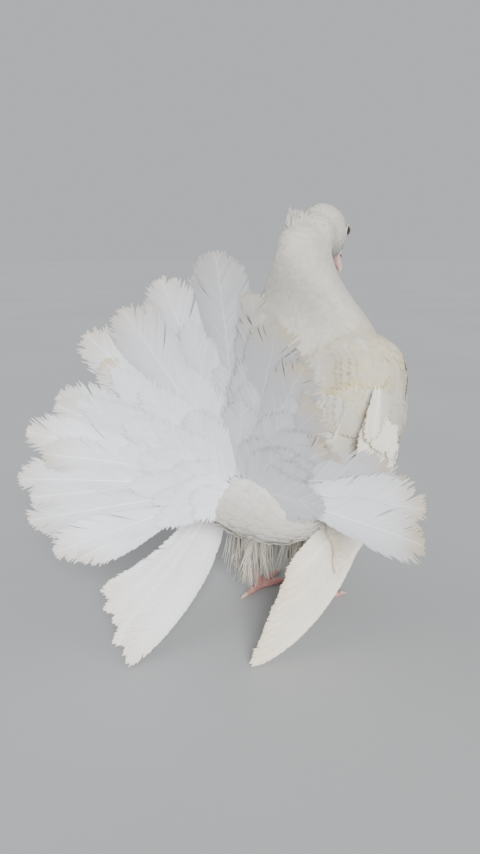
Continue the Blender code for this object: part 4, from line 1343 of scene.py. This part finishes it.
def make_wing_coverts(wing, look, draw):
    """Rows of coverts on the upper side of the wing, and a plainer layer below it."""
    coat = Coat(f"wing_{wing.side}_coverts", look)
    for row, (count, low, high, first, last, lift, width, stain) in enumerate(WING_TIERS):
        for i in range(count):
            inner = i / (count - 1)
            near = first + (last - first) * inner
            end = high - 0.03 * inner + draw.uniform(-0.012, 0.012)
            round_edge = 6.0 * max(0.0, 1 - 3.2 * inner)
            path = WingPath(wing, low + draw.uniform(-0.012, 0.012), end, near, near + 2 + 3 * inner,
                            lift - 5.6 - round_edge, lift + 0.25 * i - round_edge * 0.7, draw.normal(0, 0.6))
            add_wing_feather(coat, wing, path, width * draw.uniform(0.9, 1.1), (0.012 * i, 0.12 + 0.05 * row),
                             draw, WING_COVERT_FORM, tip_stain=stain)
    for i in range(LINING_COUNT):
        near = 5 + 50 * i / (LINING_COUNT - 1)
        end = 0.40 + draw.uniform(-0.03, 0.03)
        path = WingPath(wing, 0.05, end, near, near + 2, -5.4 - 0.1 * i, -4.8 - 0.1 * i)
        add_wing_feather(coat, wing, path, LINING_WIDTH, (0.012 * i, 0.36), draw, LINING_FORM)
    coat.finish("flight", f"wing_{wing.side}")


def lofted(name, rings, look):
    """A closed smooth piece through rings of points."""
    shape = bmesh.new()
    loft_into(shape, rings)
    bmesh.ops.recalc_face_normals(shape, faces=shape.faces)
    return new_piece(name, mesh_of(name, shape), look)


# Legs and feet


def make_legs(looks):
    for side, sign in SIDES:
        hip, ankle, foot = leg_centres(sign)
        make_shank(side, ankle, foot, looks)
        for name, bearing, length in TOES:
            make_toe(side, sign, name, bearing, length, foot, looks)
        make_muff(side, hip, ankle, looks)
    for name in frame["nodes"]:
        if name.startswith("claw_"):
            claw = bpy.data.objects[name]
            claw.data.materials.clear()
            claw.data.materials.append(looks["claw"])


def make_shank(side, ankle, foot, looks):
    """The bare lower leg, with a row of broad scutes down its front."""
    rings = []
    for share in (i / 40 for i in range(41)):
        centre = ankle.lerp(foot + Vector((0, -1, -2.6)) * MM, share)
        radius = (5.4 - 4.6 * share + 2.6 * share**2) if share < 0.9 else 3.3
        ridge = 0.16 * abs(math.sin(math.pi * share * SCUTES_OF_SHANK))
        ring = []
        for t in full_turn(24):
            reach = (radius * 0.86 + ridge * (0.4 + max(0.0, -math.sin(t)))) * MM
            ring.append(centre + Vector((math.cos(t) * 0.92, math.sin(t) * 1.08, 0)) * reach)
        rings.append(ring)
    dress(lofted(f"shank_{side}", rings, looks["leg"]), "leg", f"leg_{side}")


def make_toe(side, sign, name, bearing, length, foot, looks):
    """A toe with pads below, flat on the floor, and scutes above."""
    turn = math.radians(bearing) * sign
    along = Vector((math.sin(turn), -math.cos(turn), 0))
    cross = along.cross(Vector((0, 0, 1)))
    start = Vector((foot.x, foot.y, 0)) - along * 1.5 * MM
    scutes = round(length / 2.2)
    rings = []
    for share in np.linspace(0, 1, 48):
        radius = TOE_RADIUS * float(between(TOE_FORM, share, 1)) * MM
        ridge = 0.13 * MM * abs(math.sin(math.pi * share * scutes)) ** 0.6
        centre = start + along * length * MM * float(share)
        ring = []
        for t in full_turn(20):
            reach = radius + ridge * max(0.0, math.cos(t)) - 0.1 * MM
            spot = centre + cross * reach * math.sin(t)
            ring.append(Vector((spot.x, spot.y, max(0.0, radius * 0.86 + reach * math.cos(t)))))
        rings.append(ring)
    dress(lofted(f"toe_{side}_{name}", rings, looks["leg"]), "leg", f"leg_{side}")


def make_muff(side, hip, ankle, looks):
    """Stringy locks of feather that hang round the leg."""
    draw = np.random.default_rng(31 if side == "left" else 32)
    coat = Coat(f"muff_{side}", looks["body"])
    count = MUFF_LOCKS * LOCK_STRINGS

    def by_lock(low, high):
        return np.repeat(draw.uniform(low, high, MUFF_LOCKS), LOCK_STRINGS)

    shares = by_lock(0.15, 1.0)
    turns = by_lock(0, 2 * math.pi) + draw.normal(0, 0.10, count)
    axis = np.array(hip)[None] * (1 - shares[:, None]) + np.array(ankle)[None] * shares[:, None]
    outward = np.stack([np.cos(turns), np.sin(turns), np.zeros(count)], axis=-1)
    radius = between(THIGH_FORM, shares, 1) * MM
    roots = axis + outward * (radius - 1.0 * MM)[:, None] + draw.normal(0, 0.5 * MM, (count, 3))
    lengths = by_lock(20, 42) * MM * (1.15 - 0.5 * shares) * draw.uniform(0.8, 1.1, count)
    sway = outward * draw.uniform(0.05, 0.28, count)[:, None]
    each_lock = np.repeat(draw.normal(0, 0.10, (MUFF_LOCKS, 3)), LOCK_STRINGS, axis=0)
    sway += each_lock + draw.normal(0, 0.05, (count, 3))
    tips = roots + unit(np.array((0, 0.1, -1.0)) + sway) * lengths[:, None]
    tips[:, 2] = np.maximum(tips[:, 2], 1.5 * MM)
    middles = (roots + tips) / 2 + outward * (lengths * 0.10)[:, None]
    unwrap = np.stack([MUFF_CHART[0] + 0.03 * turns, MUFF_CHART[1] + 0.1 * shares], axis=-1)
    widths = draw.uniform(0.7, 1.9, count) * MM
    stain = by_lock(0.0, 0.7)
    place_vanes(coat, vane_template(WISP_OUTLINE, 0, draw), roots, middles, tips, outward, outward, widths,
                np.full(count, 0.4 * MM), unwrap, stain, draw)
    coat.finish("feather", f"leg_{side}")


# Face


def bill_piece(name, rows, looks):
    """One half of the bill, through rows of y, half width, top and bottom, in mm, in the skull's frame."""
    pose = head_frame()
    rings = []
    for y, half_width, top, bottom in smooth_rows(rows, 34):
        middle, tall = (top + bottom) / 2, (top - bottom) / 2
        spots = (Vector((half_width * math.sin(t), y, middle + tall * math.cos(t))) for t in full_turn(32))
        rings.append([pose @ (spot * MM) for spot in spots])
    dress(lofted(f"{name}_skin", rings, looks["bill"]), "bill", name)


def make_bill(looks):
    base = BILL_BASE_Y
    tip = base - BILL_LENGTH
    upper = (
        (base + 1.5, 3.9, 1.4, -4.3), (base - 2.5, 3.8, 1.2, -4.6), (base - 6.0, 3.1, 0.2, -5.0),
        (base - 9.5, 2.3, -1.3, -5.5), (base - 13.5, 1.8, -2.0, -6.1), (tip + 1.6, 1.3, -3.2, -7.5),
        (tip, 0.5, -5.6, -8.0),
    )
    lower = (
        (base + 1.5, 3.4, -4.5, -7.4), (base - 4.0, 2.9, -4.9, -7.6), (base - 9.0, 2.0, -5.5, -7.7),
        (base - 13.5, 1.4, -6.2, -7.8), (tip + 2.6, 0.7, -7.2, -8.0),
    )
    bill_piece("bill_upper", upper, looks)
    bill_piece("bill_lower", lower, looks)
    for s in (-1, 1):
        forms = (
            ("cere", (s * 1.9, base - 3.4, 0.1), (2.2, 4.0, 1.9)),
            # A near-black form is painted on as the shadow inside each nostril.
            ("nostril", (s * 3.05, base - 6.8, -1.6), (0.5, 1.7, 0.42)),
        )
        for name, centre, radii in forms:
            made = rounded(f"{name}_{s + 1}", Vector(centre) * MM, Vector(radii) * MM, looks[name])
            dress(made, "bill", "bill_upper")


def rounded(name, centre, radii, look):
    """A smooth rounded form in the head's frame, a little uneven."""
    pose = head_frame()
    shape = bmesh.new()
    bmesh.ops.create_icosphere(shape, subdivisions=4, radius=1.0)
    for v in shape.verts:
        wave = 1 + 0.03 * math.sin(9 * v.co.x + 4 * v.co.y) * math.sin(7 * v.co.z + 3 * v.co.y)
        v.co = pose @ (centre + Vector(c * r * wave for c, r in zip(v.co, radii)))
    return new_piece(name, mesh_of(name, shape), look)


def make_eye(side, s, looks):
    """The eyeball, with how far each point is from its axis, and the wrinkled ring of its lid."""
    centre = Vector((s * EYE_AT.x, EYE_AT.y, EYE_AT.z))
    axis = Vector((s, -0.30, 0.10)).normalized()
    shape = bmesh.new()
    bmesh.ops.create_icosphere(shape, subdivisions=5, radius=EYE_RADIUS)
    mesh = mesh_of(f"eyeball_{side}", shape)
    from_axis = mesh.attributes.new("from_axis", "FLOAT", "POINT")
    for v in mesh.vertices:
        from_axis.data[v.index].value = v.co.normalized().cross(axis).length if v.co.dot(axis) > 0 else 1.0
    mesh.transform(head_frame() @ Matrix.Translation(centre))
    dress(new_piece(f"eyeball_{side}", mesh, looks["eye"]), "eye", f"eye_{side}")
    dress(lid_ring(f"lid_{side}", centre + axis * 1.5 * MM, EYE_RADIUS * 0.91, axis, looks["lid"]), "bill")


def lid_ring(name, centre, radius, axis, look):
    """The thin ring of bare skin round an eye."""
    pose = head_frame()
    turn = Vector((0, 0, 1)).rotation_difference(axis).to_matrix()
    waves = np.random.default_rng(8).uniform(0, 2 * math.pi, 3)
    shape = bmesh.new()
    rows = []
    for a in full_turn(72):
        thick = (0.55 + 0.06 * math.sin(17 * a + waves[0]) + 0.05 * math.sin(29 * a + waves[1])) * MM
        row = []
        for b in full_turn(14):
            reach = radius + thick * math.cos(b)
            spot = Vector((reach * math.cos(a), reach * math.sin(a), thick * 0.8 * math.sin(b)))
            row.append(shape.verts.new(pose @ (centre + turn @ spot)))
        rows.append(row)
    for low, high in zip(rows, rows[1:] + rows[:1]):
        for k in range(len(low)):
            after = (k + 1) % len(low)
            shape.faces.new((low[k], high[k], high[after], low[after]))
    bmesh.ops.recalc_face_normals(shape, faces=shape.faces)
    return new_piece(name, mesh_of(name, shape), look)


def make_face(looks):
    make_bill(looks)
    for side, s in SIDES:
        make_eye(side, s, looks)


# Floor, light and camera


def make_floor(look):
    shape = bmesh.new()
    bmesh.ops.create_circle(shape, cap_ends=True, segments=96, radius=FLOOR_RADIUS)
    floor = add_object("floor", mesh_of("floor", shape))
    floor.data.materials.append(look)
    floor.location = (0, 0, -FLOOR_DROP)


def make_light():
    world = bpy.data.worlds.new("studio")
    world.use_nodes = True
    world.node_tree.nodes["Background"].inputs["Color"].default_value = SKY
    world.node_tree.nodes["Background"].inputs["Strength"].default_value = SKY_STRENGTH
    bpy.context.scene.world = world
    for name, energy, width, way in SUNS:
        sun = bpy.data.lights.new(name, "SUN")
        sun.energy = energy
        sun.angle = math.radians(width)
        add_object(name, sun).rotation_euler = Vector(way).to_track_quat("-Z", "Y").to_euler()


def make_camera():
    data = bpy.data.cameras.new("camera")
    data.sensor_width = SENSOR_WIDTH
    data.lens = PHOTO_FOCAL / PHOTO_HEIGHT * data.sensor_width
    data.clip_start = 0.01
    camera = add_object("camera", data)
    camera.location = CAMERA_AT + BIRD_AT
    flat = math.cos(CAMERA_PITCH)
    look = Vector((math.sin(CAMERA_YAW) * flat, -math.cos(CAMERA_YAW) * flat, -math.sin(CAMERA_PITCH)))
    camera.rotation_euler = look.to_track_quat("-Z", "Y").to_euler()
    bpy.context.scene.camera = camera


def make_bird():
    looks = make_looks()
    wings = (Wing("left", LEFT_EDGE, LEFT_TRAILING), Wing("right", RIGHT_EDGE, RIGHT_TRAILING))
    skin = make_skin(looks["skin"], wings)
    dress(skin, "feather", "torso", "neck", "head", "wing_left", "wing_right")
    body = Body(skin, wings)
    make_body_feathers(body, looks)
    make_shoulders(body, looks)
    make_crest(looks)
    make_tail(looks)
    make_wing(wings[0], looks["wing_left"], looks["wing_right"], *LEFT_SPREAD)
    make_wing(wings[1], looks["wing_right"], looks["wing_right"], *RIGHT_SPREAD)
    make_legs(looks)
    make_face(looks)
    make_floor(looks["floor"])
    make_light()
    make_camera()


make_bird()
